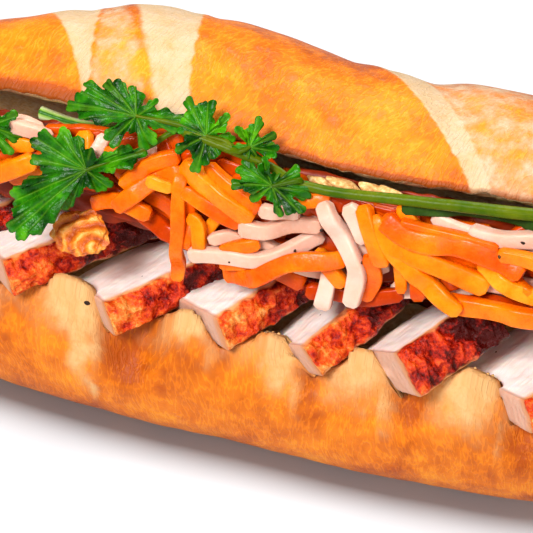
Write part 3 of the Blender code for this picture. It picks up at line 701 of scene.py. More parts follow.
def slabOutline(slab):
    thick, depth = slab["thick"], slab["depth"]
    inner = 0.75 * thick
    corners = [
        (0.35, 0.0), (0.0, 0.1 * thick), (-0.25, 0.4 * thick), (-0.1, 0.7 * thick), (0.7, 0.98 * thick)
    ]
    corners += [(depth * f, thick + (inner - thick) * f) for f in (0.35, 0.7)]
    corners += [
        (depth, inner * 0.9), (depth, 0.12 * thick), (depth * 0.7, 0.0), (depth * 0.35, 0.0), (0.35, 0.0)
    ]
    inward, down = np.array(corners).T
    inward, down, _ = evenly(inward, down, pork["outline"] + 1)
    outline = np.stack([inward[:-1], down[:-1]], -1)
    for _ in range(3):
        outline = (np.roll(outline, 1, 0) + 2 * outline + np.roll(outline, -1, 0)) / 4
    return outline


def porkSlice(number, slab, finish):
    axes = slabAxes(slab)
    outline = slabOutline(slab)
    middle = np.array((slab["depth"] * 0.5, slab["thick"] * 0.43))
    evenShares = np.linspace(0, 1, pork["sections"])
    capShrink = np.array((0.0, 0.3, 0.62, 0.84, 0.95, 0.985))
    capOut = np.array((0.55, 0.5, 0.42, 0.32, 0.2, 0.08))
    shares = np.concatenate([-capOut / slab["length"], evenShares, 1 + capOut[::-1] / slab["length"]])
    scales = np.concatenate([capShrink, np.ones_like(evenShares), capShrink[::-1]])
    narrow = 1 - 0.1 * (2 * np.clip(shares, 0, 1) - 1) ** 2
    shape = middle + (outline[None] - middle) * scales[:, None, None]
    inward, down = shape[..., 0] * np.where(shape[..., 0] > 1, narrow[:, None], 1), shape[..., 1]
    along = np.broadcast_to((shares * slab["length"])[:, None], inward.shape)
    rings = np.array(slab["corner"]) + along[..., None] * axes[0]
    rings = rings + inward[..., None] * axes[1] + down[..., None] * axes[2]
    onRind = smooth((1.3 - inward) / 1.2) * smooth(scales[:, None] * 6 - 4.9)
    crag = 0.35 * crests(rings, pork["cragSize"], number) + 0.65 * (0.5 + 0.9 * lumps(rings, 3.0, number + 3))
    out = pork["relief"] * (0.4 + lumps(rings, 5.0, number)) + pork["cragHeight"] * (crag - 0.45)
    out = out + pork["fineHeight"] * (crests(rings, pork["fineSize"], number + 5) - 0.5)
    rings = rings - (onRind * out)[..., None] * axes[1]
    ragged = 0.7 * lumps(rings, 2.8, number + 7) * smooth((2.4 - inward) / 2)
    flesh = 0.35 * lumps(rings, 8.0, number + 9) + 0.12 * lumps(rings, 2.2, number + 11)
    rings = rings + (ragged + flesh)[..., None] * axes[2]
    rings = rings + ((1 - onRind) * 0.25 * lumps(rings, 6.0, number + 13))[..., None] * axes[0]
    cut = np.stack([along, inward, down], -1)
    fields = {
        "cutPlace": cut, "crag": np.clip(crag, 0, 1), "roast": np.full_like(crag, pork["roast"][number - 1])
    }
    return loft(f"porkSlice{number}", rings, finish, fields)


porkFinish = porkMaterial()
for number, slab in enumerate(slabs, 1):
    place(porkSlice(number, slab, porkFinish), "pork", f"pork_slice_{number}")
print("pork made")


# Pickled carrot and white radish, cut in long flat strips and laid in a heap whose open face leans back as it
# rises.
pickles = dict(
    left=-99.0, right=101.0, faceTopY=-15.0, faceTopZ=87.0, faceSlope=0.35, stripWidth=4.2,
    stripThickness=2.9, coreStations=180, corePoints=160, step=0.9, fillers=230, loose=44, seed=11,
    embed=-3.4, proudest=4.2, unevenness=0.22, stackedHeight=2.0,
    limitX=(-96, -60, -30, -21, -12, 0, 6, 20, 35, 66, 96),
    lowest=(68, 72, 71, 64, 62, 59, 57, 57, 60, 62, 62), highest=(79, 79, 82, 84, 84, 82, 79, 78, 78, 78, 78),
    pictureLeft=-62, pictureRight=64,
    section=((-14, 82), (-19.5, 71), (-22.5, 61), (-10, 50), (-2, 34), (6, 26), (16, 31), (14, 46), (1, 64)),
)
# The strips that show, the lowest first: kind, width in millimetres, then the pixels that the middle of each
# one passes in the photograph
shownStrips = (
    ("radish", 3.2, (-4, 124), (22, 128), (52, 138)), ("carrot", 3.4, (2, 142), (34, 148)),
    ("carrot", 3.0, (4, 184), (24, 181), (46, 172)), ("carrot", 4.4, (-20, 176), (6, 168), (38, 158)),
    ("carrot", 3.6, (83, 132), (86, 150), (84, 172)), ("radish", 3.2, (104, 136), (98, 150), (88, 164)),
    ("carrot", 2.8, (104, 150), (130, 156)), ("carrot", 3.8, (90, 206), (118, 200), (152, 214)),
    ("carrot", 3.6, (178, 158), (150, 164), (124, 184)), ("carrot", 4.0, (182, 172), (152, 182), (118, 204)),
    ("carrot", 3.0, (150, 176), (176, 186)), ("radish", 2.6, (164, 186), (174, 208)),
    ("radish", 3.4, (148, 192), (158, 216)), ("carrot", 3.0, (189, 196), (190, 222), (187, 246)),
    ("carrot", 3.0, (226, 206), (212, 224), (200, 240)), ("carrot", 3.2, (190, 214), (200, 222), (203, 248)),
    ("carrot", 3.4, (186, 186), (206, 200), (244, 222)), ("carrot", 4.6, (184, 162), (210, 184), (256, 216)),
    ("carrot", 4.0, (206, 166), (226, 182), (262, 206)),
    ("carrot", 3.2, (183, 172), (181, 200), (180, 236), (172, 286)),
    ("radish", 3.0, (212, 236), (230, 234), (244, 242)), ("radish", 3.2, (262, 206), (300, 214)),
    ("carrot", 2.4, (220, 264), (266, 266)), ("carrot", 3.2, (224, 246), (262, 240)),
    ("radish", 3.8, (242, 224), (276, 228), (322, 224)),
    ("radish", 3.7, (192, 250), (230, 252), (268, 256), (320, 240)), ("carrot", 3.2, (330, 200), (300, 200)),
    ("radish", 3.8, (329, 266), (326, 288), (321, 310)), ("carrot", 3.6, (314, 252), (330, 268), (344, 286)),
    ("carrot", 4.2, (220, 279), (250, 277), (294, 259), (346, 258)),
    ("radish", 3.8, (348, 204), (358, 222), (366, 242)), ("carrot", 3.2, (384, 206), (396, 228)),
    ("carrot", 3.2, (400, 206), (420, 232)), ("radish", 2.8, (432, 218), (480, 236)),
    ("carrot", 3.4, (370, 252), (374, 278), (362, 302)), ("carrot", 2.6, (398, 264), (400, 296)),
    ("carrot", 3.8, (364, 204), (374, 232), (386, 262)),
    ("radish", 4.0, (324, 200), (340, 232), (358, 264), (352, 304)),
    ("carrot", 3.6, (424, 246), (470, 262), (534, 292)), ("radish", 3.8, (470, 230), (500, 237), (546, 240)),
    ("carrot", 3.6, (480, 262), (512, 284), (560, 300)), ("carrot", 4.2, (440, 304), (480, 307), (556, 318)),
    ("carrot", 4.6, (392, 240), (440, 264), (488, 288)),
    ("carrot", 4.0, (374, 214), (400, 252), (432, 286), (462, 308)),
    ("carrot", 4.8, (384, 216), (416, 236), (474, 246), (524, 272)),
    ("carrot", 3.4, (400, 222), (452, 234), (500, 246)), ("carrot", 3.4, (500, 250), (530, 256), (560, 268)),
    ("peel", 2.6, (402, 208), (436, 211), (474, 217), (546, 230)),
)


def faceY(z):
    return pickles["faceTopY"] - (pickles["faceTopZ"] - z) * pickles["faceSlope"]


def heapShare(x):
    fromEnd = np.minimum(x - pickles["left"], pickles["right"] - x)
    return swell(x) * np.minimum(1.0, 0.45 + fromEnd / 24)


# Where the line of sight through a pixel meets the strips on the heap's face, as its x and z there
def onFace(pixel):
    outward = np.array((0.0, -1.0, pickles["faceSlope"])) / math.hypot(1, pickles["faceSlope"])
    top = np.array((0.0, pickles["faceTopY"], pickles["faceTopZ"])) + outward * pickles["stackedHeight"]
    spot = fromPicture(pixel, top, outward) - outward * pickles["stackedHeight"]
    return spot[0], spot[2]


# Pickled vegetables are full of brine: deep colour, soft light inside and a wet skin with small sharp
# highlights. Each has its colours, how much light scatters inside and how far, its roughness and its shine.
vegetables = dict(
    pickledCarrot=dict(
        stops=((0.0, "#D24000"), (0.35, "#E65E02"), (0.7, "#F27C04"), (1.0, "#F99A20")),
        scatter=0.3, radius=(2.5, 0.9, 0.2), roughness=0.18, shine=0.3,
    ),
    pickledWhiteRadish=dict(
        stops=((0.0, "#CC8E74"), (0.4, "#D8A68E"), (1.0, "#E2BEAC")),
        scatter=0.5, radius=(3.4, 2.0, 1.4), roughness=0.15, shine=0.35,
    ),
    # Painted shade: a darker copy of the carrot, for the strips laid deep in the heap
    pickledCarrotInShade=dict(
        stops=((0.0, "#902000"), (0.5, "#B83A00"), (1.0, "#D85C00")),
        scatter=0.2, radius=(2.5, 0.9, 0.2), roughness=0.15, shine=0.3,
    ),
    cucumberPeel=dict(
        stops=((0.0, "#101E06"), (0.5, "#1C320A"), (1.0, "#365218")),
        scatter=0.1, radius=(0.8, 1.2, 0.3), roughness=0.15, shine=0.3,
    ),
    shadedPickleHeap=dict(
        stops=((0.0, "#541404"), (0.5, "#9E300A"), (1.0, "#D05E14")),
        scatter=0.1, radius=(1.5, 0.6, 0.2), roughness=0.3, shine=0.3,
    ),
    corianderStem=dict(
        stops=((0.0, "#1E3E01"), (0.5, "#385202"), (1.0, "#606A06")),
        scatter=0.15, radius=(0.8, 1.4, 0.2), roughness=0.2, shine=0.1,
    ),
)


def vegetableMaterial(name):
    look = vegetables[name]
    made, tree = newMaterial(name)
    where = addNode(tree, "TexCoord").outputs["Object"]
    own = addNode(tree, "Attribute", attribute_name="ownTone").outputs["Fac"]
    patches = addNode(tree, "TexNoise", {"Vector": where, "Scale": 1000 / 7, "Detail": 2.0})
    fine = addNode(tree, "TexNoise", {"Vector": where, "Scale": 1000 / 1.2, "Detail": 3.0})
    tone = addNode(tree, "Math", (patches, 1.1, -0.4), operation="MULTIPLY_ADD")
    tone = addNode(tree, "Math", (own, 0.46, tone), operation="MULTIPLY_ADD")
    tone = addNode(tree, "Math", (fine, 0.25, tone), operation="MULTIPLY_ADD", use_clamp=True)
    colour = addNode(tree, "ValToRGB", (tone,), stops=look["stops"])
    gloss = addNode(tree, "Math", (fine, 0.2, look["roughness"]), operation="MULTIPLY_ADD")
    height = addNode(tree, "Math", (fine, 0.12), operation="MULTIPLY")
    finishMaterial(
        tree, colour, gloss, height, Specular_IOR_Level=look["shine"], Subsurface_Weight=look["scatter"],
        Subsurface_Radius=look["radius"], Subsurface_Scale=mm, IOR=1.37,
    )
    return made


# A strip's flat side, of its Width, faces along the curve's normal. The curve's radius is a share of its full
# section
def stripTree(finish, roundness):
    tree, given = newTree(
        "stripOf" + finish.name[0].upper() + finish.name[1:], ("Width", "Thickness", "Unevenness")
    )
    section = addNode(
        tree, "GeometryNodeCurvePrimitiveQuadrilateral",
        {"Width": given["Thickness"], "Height": given["Width"]},
    )
    corner = addNode(tree, "Math", (given["Thickness"], roundness), operation="MULTIPLY")
    section = addNode(
        tree, "GeometryNodeFilletCurve", {"Curve": section, "Count": 3, "Radius": corner}, mode="POLY"
    )
    radius = addNode(tree, "GeometryNodeInputRadius")
    own = addNode(
        tree, "FunctionNodeRandomValue", {2: 0.0, 3: 1.0, "Seed": given["Seed"]}, data_type="FLOAT"
    ).outputs[1]
    toned = addNode(
        tree, "GeometryNodeStoreNamedAttribute",
        {"Geometry": given["Geometry"], "Name": "ownTone", "Value": own}, data_type="FLOAT", domain="CURVE",
    )
    strip = addNode(
        tree, "GeometryNodeCurveToMesh",
        {"Curve": toned, "Profile Curve": section, "Scale": radius, "Fill Caps": True},
    )
    warp = addNode(
        tree, "TexNoise", {"Scale": 1 / (5 * mm), "Detail": 1.0, "W": given["Seed"]}, noise_dimensions="4D"
    ).outputs["Color"]
    warp = addNode(tree, "VectorMath", (warp, (0.5, 0.5, 0.5)), operation="SUBTRACT")
    shift = addNode(tree, "VectorMath", {0: warp, "Scale": given["Unevenness"]}, operation="SCALE")
    strip = addNode(tree, "GeometryNodeSetPosition", {"Geometry": strip, "Offset": shift})
    strip = addNode(tree, "GeometryNodeSetShadeSmooth", {"Geometry": strip})
    strip = addNode(tree, "GeometryNodeRealizeInstances", (strip,))
    strip = addNode(tree, "GeometryNodeSetMaterial", {"Geometry": strip, "Material": finish})
    addNode(tree, "NodeGroupOutput", (strip,))
    return tree


# Strips along lines of (place, share of the section, tilt), as one mesh piece
def makeStrips(name, lines, finish, width, thickness, unevenness, roundness=0.22, seed=3):
    curve = bpy.data.curves.new(name, "CURVE")
    curve.dimensions = "3D"
    for points, shares, tilt in lines:
        spline = curve.splines.new("POLY")
        spline.points.add(len(points) - 1)
        flat = np.concatenate([np.asarray(points) * mm, np.ones((len(points), 1))], 1)
        spline.points.foreach_set("co", flat.ravel())
        spline.points.foreach_set("radius", np.asarray(shares, float))
        spline.points.foreach_set("tilt", np.full(len(points), float(tilt)))
    guide = bpy.data.objects.new(name + "Guide", curve)
    sizes = dict(Width=width * mm, Thickness=thickness * mm, Unevenness=unevenness * mm)
    return grow(guide, name, stripTree(finish, roundness), Seed=seed, **sizes)


# Shares of the full section along a strip, rounded off over its two ends
def endShares(run, thick):
    left = np.minimum(run, run[-1] - run)
    return np.clip(1 - (1 - np.clip(left / (0.22 * thick), 0, 1)) ** 2.5, 0.6, 1)


# A smooth line through a few places, as evenly run points
def smoothLine(places, step):
    places = np.array(places, float)
    knots = np.concatenate([[2 * places[0] - places[1]], places, [2 * places[-1] - places[-2]]])
    line = []
    for p0, p1, p2, p3 in zip(knots, knots[1:], knots[2:], knots[3:]):
        count = max(2, int(np.linalg.norm(p2 - p1) / step))
        t = (np.arange(count) / count)[:, None]
        bend = (2 * p0 - 5 * p1 + 4 * p2 - p3) * t**2 + (3 * p1 - p0 - 3 * p2 + p3) * t**3
        line.append(p1 + 0.5 * ((p2 - p0) * t + bend))
    line.append(places[-1:])
    return np.concatenate(line)


# The turn about a line that sets the flat side of a strip on it towards outward
def flatTilt(points, outward):
    ahead = points[1] - points[0]
    ahead = ahead / np.linalg.norm(ahead)
    normal = np.array((ahead[1], -ahead[0], 0.0))
    normal /= np.linalg.norm(normal) + 1e-9
    return math.atan2(np.cross(normal, outward) @ ahead, normal @ outward)


# Places on the heap's face for one strip laid at random
def randomStrip(draw, left, right):
    x, z = draw.uniform(left, right), draw.uniform(54, 84)
    heading = draw.choice(
        (draw.gauss(-0.45, 0.25), draw.gauss(-0.3, 0.3), draw.gauss(0.35, 0.35), draw.gauss(1.4, 0.3))
    )
    length = draw.uniform(15, 30)
    ends = np.array(((x, z), (x + length * math.cos(heading), z + length * math.sin(heading))))
    lowest, highest = (
        np.interp(ends[:, 0], pickles["limitX"], pickles[key]) for key in ("lowest", "highest")
    )
    ends = np.clip(ends, np.stack([[-95, -95], lowest], -1), np.stack([[94, 94], highest], -1))
    middle = ends.mean(0) + np.array((0.0, draw.uniform(-2.5, 2.5)))
    return ends[0], middle, ends[1]


# Lays strips one after another on the heap's face: each rests on what lies under it
def layStrips():
    draw = random.Random(pickles["seed"])
    rows = []
    # The deep strips are mostly carrot in painted shade, with a few of radish
    for k in range(pickles["fillers"]):
        kind = "radish" if draw.random() < 0.18 else "soaked"
        rows.append((kind, draw.uniform(3.2, 4.2), randomStrip(draw, -96, 88), "deep"))
    for k in range(pickles["loose"]):
        kind = "radish" if draw.random() < 0.25 else "carrot"
        left, right = ((-97, pickles["pictureLeft"] - 18), (pickles["pictureRight"], 86))[k % 2]
        rows.append((kind, draw.uniform(3.3, 4.6), randomStrip(draw, left, right), "top"))
    rows += [
        (kind, width, [onFace(pixel) for pixel in pixels], "shown") for kind, width, *pixels in shownStrips
    ]
    laidX, laidZ, laidH, laidR = (np.zeros(0) for _ in range(4))
    lines = {"carrot": [], "radish": [], "soaked": [], "peel": []}
    outward = np.array((0.0, -0.944, 0.33))
    for kind, width, places, level in rows:
        x, z = smoothLine(places, pickles["step"]).T
        run = np.concatenate(([0], np.cumsum(np.hypot(np.diff(x), np.diff(z)))))
        if run[-1] < 6:
            continue
        size = width / pickles["stripWidth"]
        half = 0.5 * pickles["stripThickness"] * size
        height = np.full_like(x, pickles["embed"] + (0 if level == "deep" else 2.0))
        if len(laidX):
            apart = (x[:, None] - laidX) ** 2 + 1.12 * (z[:, None] - laidZ) ** 2
            both = half + laidR
            lift = laidH + 0.92 * np.sqrt(np.maximum(0, both**2 - apart * 0.5))
            height = np.maximum(height, np.where(apart < both**2 * 1.3, lift, -9).max(1))
        window = 3
        padded = np.pad(height, window, mode="edge")
        height = np.max([padded[k:k + len(x)] for k in range(2 * window + 1)], axis=0) * 0.6 + height * 0.4
        kernel = np.exp(-((np.arange(-5, 6) / 2.6) ** 2))
        height = np.convolve(np.pad(height, 5, mode="edge"), kernel / kernel.sum(), "valid")
        ceiling = np.interp(z, (55, 76, 84), (pickles["proudest"], pickles["proudest"], 0.6))
        height = np.minimum(height, ceiling - (3.2 if level == "deep" else 0))
        if level == "deep" and np.median(height) > 0.2:
            continue
        laidX, laidZ = np.append(laidX, x), np.append(laidZ, z)
        laidH, laidR = np.append(laidH, height), np.append(laidR, np.full_like(x, half))
        y, up = faceY(z) + height * outward[1], z + height * outward[2]
        if level != "shown":
            share = np.maximum(0.3, np.minimum(1, heapShare(x) * 1.05))
            y, up = 1 + (y - 1) * share, 52 + (up - 52) * share
        points = np.stack([x, y, up], -1)
        shares = endShares(run, 2 * half) * size * (1 + 0.05 * np.sin(run * 0.5 + len(laidX)))
        lines[kind].append((points, shares, flatTilt(points, outward) + draw.uniform(-0.3, 0.3)))
    return lines


# The heap's core is coloured dark as painted shade between the strips
def heapCore():
    x = np.linspace(pickles["left"], pickles["right"], pickles["coreStations"])[:, None]
    y, z = np.array(pickles["section"], float).T
    y, z, _ = evenly(np.append(y, y[0]), np.append(z, z[0]), pickles["corePoints"] + 1)
    share = heapShare(x) * 0.93
    rings = np.stack(np.broadcast_arrays(x, 1 + (y[:-1] - 1) * share, 52 + (z[:-1] - 52) * share), -1)
    strands = crests(rings * np.array((0.3, 1.0, 1.0)), 3.4, 6)
    uneven = 0.9 * lumps(rings, 8, 5) + 1.5 * (strands - 0.5) * share
    rings[..., 1] += uneven
    rings[..., 2] += 0.7 * uneven
    return loft("pickleHeapCore", rings, vegetableMaterial("shadedPickleHeap"))


laid = layStrips()
place(heapCore(), "pickles", "pickled_vegetables")
for kind, finishName in (
    ("carrot", "pickledCarrot"), ("radish", "pickledWhiteRadish"), ("soaked", "pickledCarrotInShade"),
    ("peel", "cucumberPeel"),
):
    sizes = [pickles[key] for key in ("stripWidth", "stripThickness", "unevenness")]
    strips = makeStrips(kind + "Strips", laid[kind], vegetableMaterial(finishName), *sizes)
    place(strips, "pickles", "pickled_vegetables")
print("pickles made:", {kind: len(lines) for kind, lines in laid.items()})


# Cucumber, cut lengthwise: dark waxy skin along one edge, pale watery flesh with a translucent seed bed
cucumber = dict(
    width=15.0, thickness=3.4, slices=((-38.0, 34.0, 4.5), (53.0, 58.0, 5.0)), sections=90, outline=72
)


def cucumberMaterial():
    made, tree = newMaterial("cucumberSlice")
    cut = addNode(tree, "Attribute", attribute_name="cutPlace").outputs["Vector"]
    across = addNode(tree, "SeparateXYZ", (cut,)).outputs[1]
    patches = addNode(tree, "TexNoise", {"Vector": cut, "Scale": 1 / 2.5, "Detail": 3.0})
    edge = addNode(tree, "Math", (patches, 0.7, across), operation="MULTIPLY_ADD")
    stops = (
        (0.0, "#1E4A12"), (0.07, "#2F6A1A"), (0.1, "#8DB94E"), (0.2, "#D8E6A4"), (0.6, "#EEF2CC"),
        (1.0, "#E2EDB6"),
    )
    edge = addNode(tree, "MapRange", (edge, 0.0, 12.0))
    colour = addNode(tree, "ValToRGB", (edge,), stops=stops)
    gloss = addNode(tree, "Math", (patches, 0.2, 0.2), operation="MULTIPLY_ADD")
    height = addNode(tree, "Math", (patches, 0.25), operation="MULTIPLY")
    finishMaterial(
        tree, colour, gloss, height, Specular_IOR_Level=0.5, Subsurface_Weight=0.3,
        Subsurface_Radius=(1.5, 2.0, 0.8), Subsurface_Scale=mm, IOR=1.36,
    )
    return made


def cucumberSlice(number, middle, length, down, finish):
    corners = np.array(
        ((0, 0), (0.12, -0.34), (0.3, -0.5), (1, -0.5), (1, 0.5), (0.3, 0.5), (0.12, 0.34), (0, 0))
    )
    scaled = corners * (cucumber["width"], cucumber["thickness"])
    across, thick, _ = evenly(*scaled.T, cucumber["outline"] + 1)
    outline = np.stack([across[:-1], thick[:-1]], -1)
    for _ in range(2):
        outline = (np.roll(outline, 1, 0) + 2 * outline + np.roll(outline, -1, 0)) / 4
    along = np.linspace(-1, 1, cucumber["sections"])[:, None]
    width = 1 - 0.55 * np.abs(along) ** 3
    x = np.broadcast_to(middle + along * length / 2, (cucumber["sections"], cucumber["outline"]))
    y = loaf["crownY"] - loaf["crownHalfWidth"] + down + outline[:, 0] * width
    z = loaf["cutHeight"] - 2.8 + outline[:, 1] + 0.8 * np.sin(3 * along)
    y, z = opened(x, *inSection(x, y, z))
    rings = np.stack([x, y, z], -1)
    rings = rings + 0.18 * lumps(rings, 3.0, number)[..., None] * np.array((0, -0.6, 0.4))
    cut = np.stack(np.broadcast_arrays(x, outline[:, 0], outline[:, 1]), -1)
    return loft(f"cucumberSlice{number}", rings, finish, {"cutPlace": cut})


cucumberFinish = cucumberMaterial()
for number, (middle, length, down) in enumerate(cucumber["slices"], 1):
    place(cucumberSlice(number, middle, length, down, cucumberFinish), "cucumber", f"cucumber_slice_{number}")
print("cucumber made")


# Coriander: toothed leaflets in broad lobes, creased along their veins and glossy, on a juicy stem with
# thinner leaf stalks. A leaf rests on one place, faces one way, and its middle and its lobes' tips are read
# off the photograph in pixels, each tip with the half angle of its lobe.
coriander = dict(
    stalk=(
        (72, -15, 85), (58, -18, 85.5), (42, -19.5, 85), (30, -20, 84), (18, -20.5, 83), (9, -20.5, 83.5),
        (3, -20, 86), (-6, -19.5, 88), (-17, -18.5, 89.5),
    ),
    leaves=(
        dict(
            rests=(-38, -27, 76), facing=(0.1, -0.75, 0.66), middle=(86, 170),
            stem=((205, 140), (176, 131), (146, 148)),
            tips=(
                (10, 234, 22), (8, 202, 20), (32, 158, 26), (34, 136, 24), (58, 131, 24), (76, 138, 18),
                (144, 152, 20), (58, 206, 26), (108, 190, 26),
            ),
        ),
        dict(
            rests=(-33, -17.5, 91), facing=(0.05, -0.62, 0.78), middle=(136, 116),
            stem=((214, 140), (182, 126)),
            tips=(
                (66, 101, 19), (84, 86, 15), (106, 78, 22), (134, 85, 24), (160, 105, 24), (186, 122, 22),
                (150, 147, 28), (108, 145, 24), (84, 116, 16),
            ),
        ),
        dict(
            rests=(-16, -18.5, 91), facing=(0.2, -0.64, 0.74), middle=(206, 136), stem=((226, 142),),
            tips=(
                (187, 99, 22), (208, 98, 22), (230, 119, 22), (236, 143, 24), (196, 170, 30), (178, 150, 26),
                (220, 158, 22), (176, 122, 20),
            ),
        ),
        dict(
            rests=(-4, -19, 90.5), facing=(0.25, -0.65, 0.72), middle=(250, 147), stem=((240, 152),),
            tips=(
                (240, 127, 26), (258, 118, 24), (273, 135, 24), (279, 153, 24), (262, 164, 26), (234, 150, 26)
            ),
        ),
        dict(
            rests=(3, -23, 84), facing=(0.1, -0.8, 0.6), middle=(272, 186), stem=((300, 180),),
            tips=(
                (238, 163, 22), (262, 158, 20), (302, 171, 22), (313, 193, 22), (302, 213, 22),
                (280, 214, 22), (252, 200, 24), (234, 182, 22),
            ),
        ),
    ),
    endStalk=((-84, -17, 83), (-76, -19, 84), (-69, -20, 84.5)),
    endLeaves=(
        dict(
            rests=(-75, -22, 84), facing=(0.1, -0.7, 0.7), middle=(-10, 126), stem=((-36, 120),),
            tips=((16, 116, 26), (17, 136, 24), (8, 153, 26), (-2, 104, 24), (-26, 110, 26), (-22, 142, 28)),
        ),
        dict(
            rests=(-80, -23, 80), facing=(0.1, -0.75, 0.66), middle=(-72, 128), stem=((-62, 112),),
            tips=((-98, 126, 28), (-86, 146, 26), (-66, 152, 26), (-50, 134, 26), (-88, 110, 24)),
        ),
    ),
    rim=320, across=16, thickness=0.35, stalkWidth=3.0, petioleWidth=0.45, bigTeeth=4.4, smallTeeth=1.9,
    bigDepth=1.8, smallDepth=0.6, crease=0.2, ruffle=1.9, pucker=0.5,
)


def leafMaterial():
    made, tree = newMaterial("freshCorianderLeaf")
    leaf = addNode(tree, "Attribute", attribute_name="leafPlace").outputs["Vector"]
    vein = addNode(tree, "Attribute", attribute_name="vein").outputs["Fac"]
    patches = addNode(tree, "TexNoise", {"Vector": leaf, "Scale": 1 / 6, "Detail": 2.0})
    fine = addNode(tree, "TexNoise", {"Vector": leaf, "Scale": 1 / 0.9, "Detail": 3.0})
    tone = addNode(tree, "Math", (patches, 1.7, -0.45), operation="MULTIPLY_ADD")
    tone = addNode(tree, "Math", (fine, 0.3, tone), operation="MULTIPLY_ADD", use_clamp=True)
    stops = ((0.0, "#031A01"), (0.35, "#0A3802"), (0.65, "#206602"), (1.0, "#509A08"))
    blade = addNode(tree, "ValToRGB", (tone,), stops=stops)
    pale = addNode(tree, "Math", (vein, 0.4), operation="MULTIPLY")
    colour = addNode(tree, "Mix", {0: pale, 6: blade, 7: "#6CA01E"}, data_type="RGBA").outputs[2]
    gloss = addNode(tree, "Math", (fine, 0.2, 0.17), operation="MULTIPLY_ADD")
    height = addNode(tree, "Math", (fine, 0.25), operation="MULTIPLY")
    finishMaterial(
        tree, colour, gloss, height, Specular_IOR_Level=0.2, Subsurface_Weight=0.15,
        Subsurface_Radius=(0.5, 1.2, 0.1), Subsurface_Scale=mm, IOR=1.42,
    )
    return made


# The outline of a leaflet about its middle, as points in its plane spaced evenly along the toothed rim, then
# how far off the axis of its lobe each of them stands, which lobe that is, and its place in a tooth
def leafRim(tips, halves):
    turn = np.linspace(0, 2 * math.pi, 1440, endpoint=False)
    angles, lengths = np.arctan2(tips[:, 1], tips[:, 0]), np.hypot(*tips.T)
    apart = (turn[:, None] - angles + math.pi) % (2 * math.pi) - math.pi
    lobes = lengths * np.cos(np.clip(np.abs(apart) / halves, 0, 1) * math.pi / 2) ** 0.55
    reach = np.maximum(0.34 * lengths.mean(), lobes.max(1))
    kernel = np.hanning(31) / np.hanning(31).sum()
    reach = np.convolve(np.tile(reach, 3), kernel, "same")[1440:2880]
    line = np.stack([reach * np.cos(turn), reach * np.sin(turn)], -1)
    closed = np.concatenate([line, line[:1]])
    run = np.concatenate(([0], np.cumsum(np.hypot(*np.diff(closed, axis=0).T))))
    at = np.linspace(0, run[-1], coriander["rim"], endpoint=False)
    rim = np.stack([np.interp(at, run, closed[:, k]) for k in range(2)], -1)
    ahead = np.roll(rim, -1, 0) - np.roll(rim, 1, 0)
    outward = np.stack([ahead[:, 1], -ahead[:, 0]], -1) / np.hypot(*ahead.T)[:, None]
    big, small = (np.abs(np.sin(math.pi * round(run[-1] / coriander[key]) * at / run[-1])) ** 0.85
                  for key in ("bigTeeth", "smallTeeth"))
    teeth = coriander["bigDepth"] * (big - 0.6) + coriander["smallDepth"] * (small - 0.6)
    owner = lobes.argmax(1)
    nearest = np.interp(at, run, np.append(np.arange(1440), 1440)).astype(int) % 1440
    aside = apart[np.arange(1440), owner][nearest]
    return rim + outward * teeth[:, None], rim, aside, owner[nearest], big


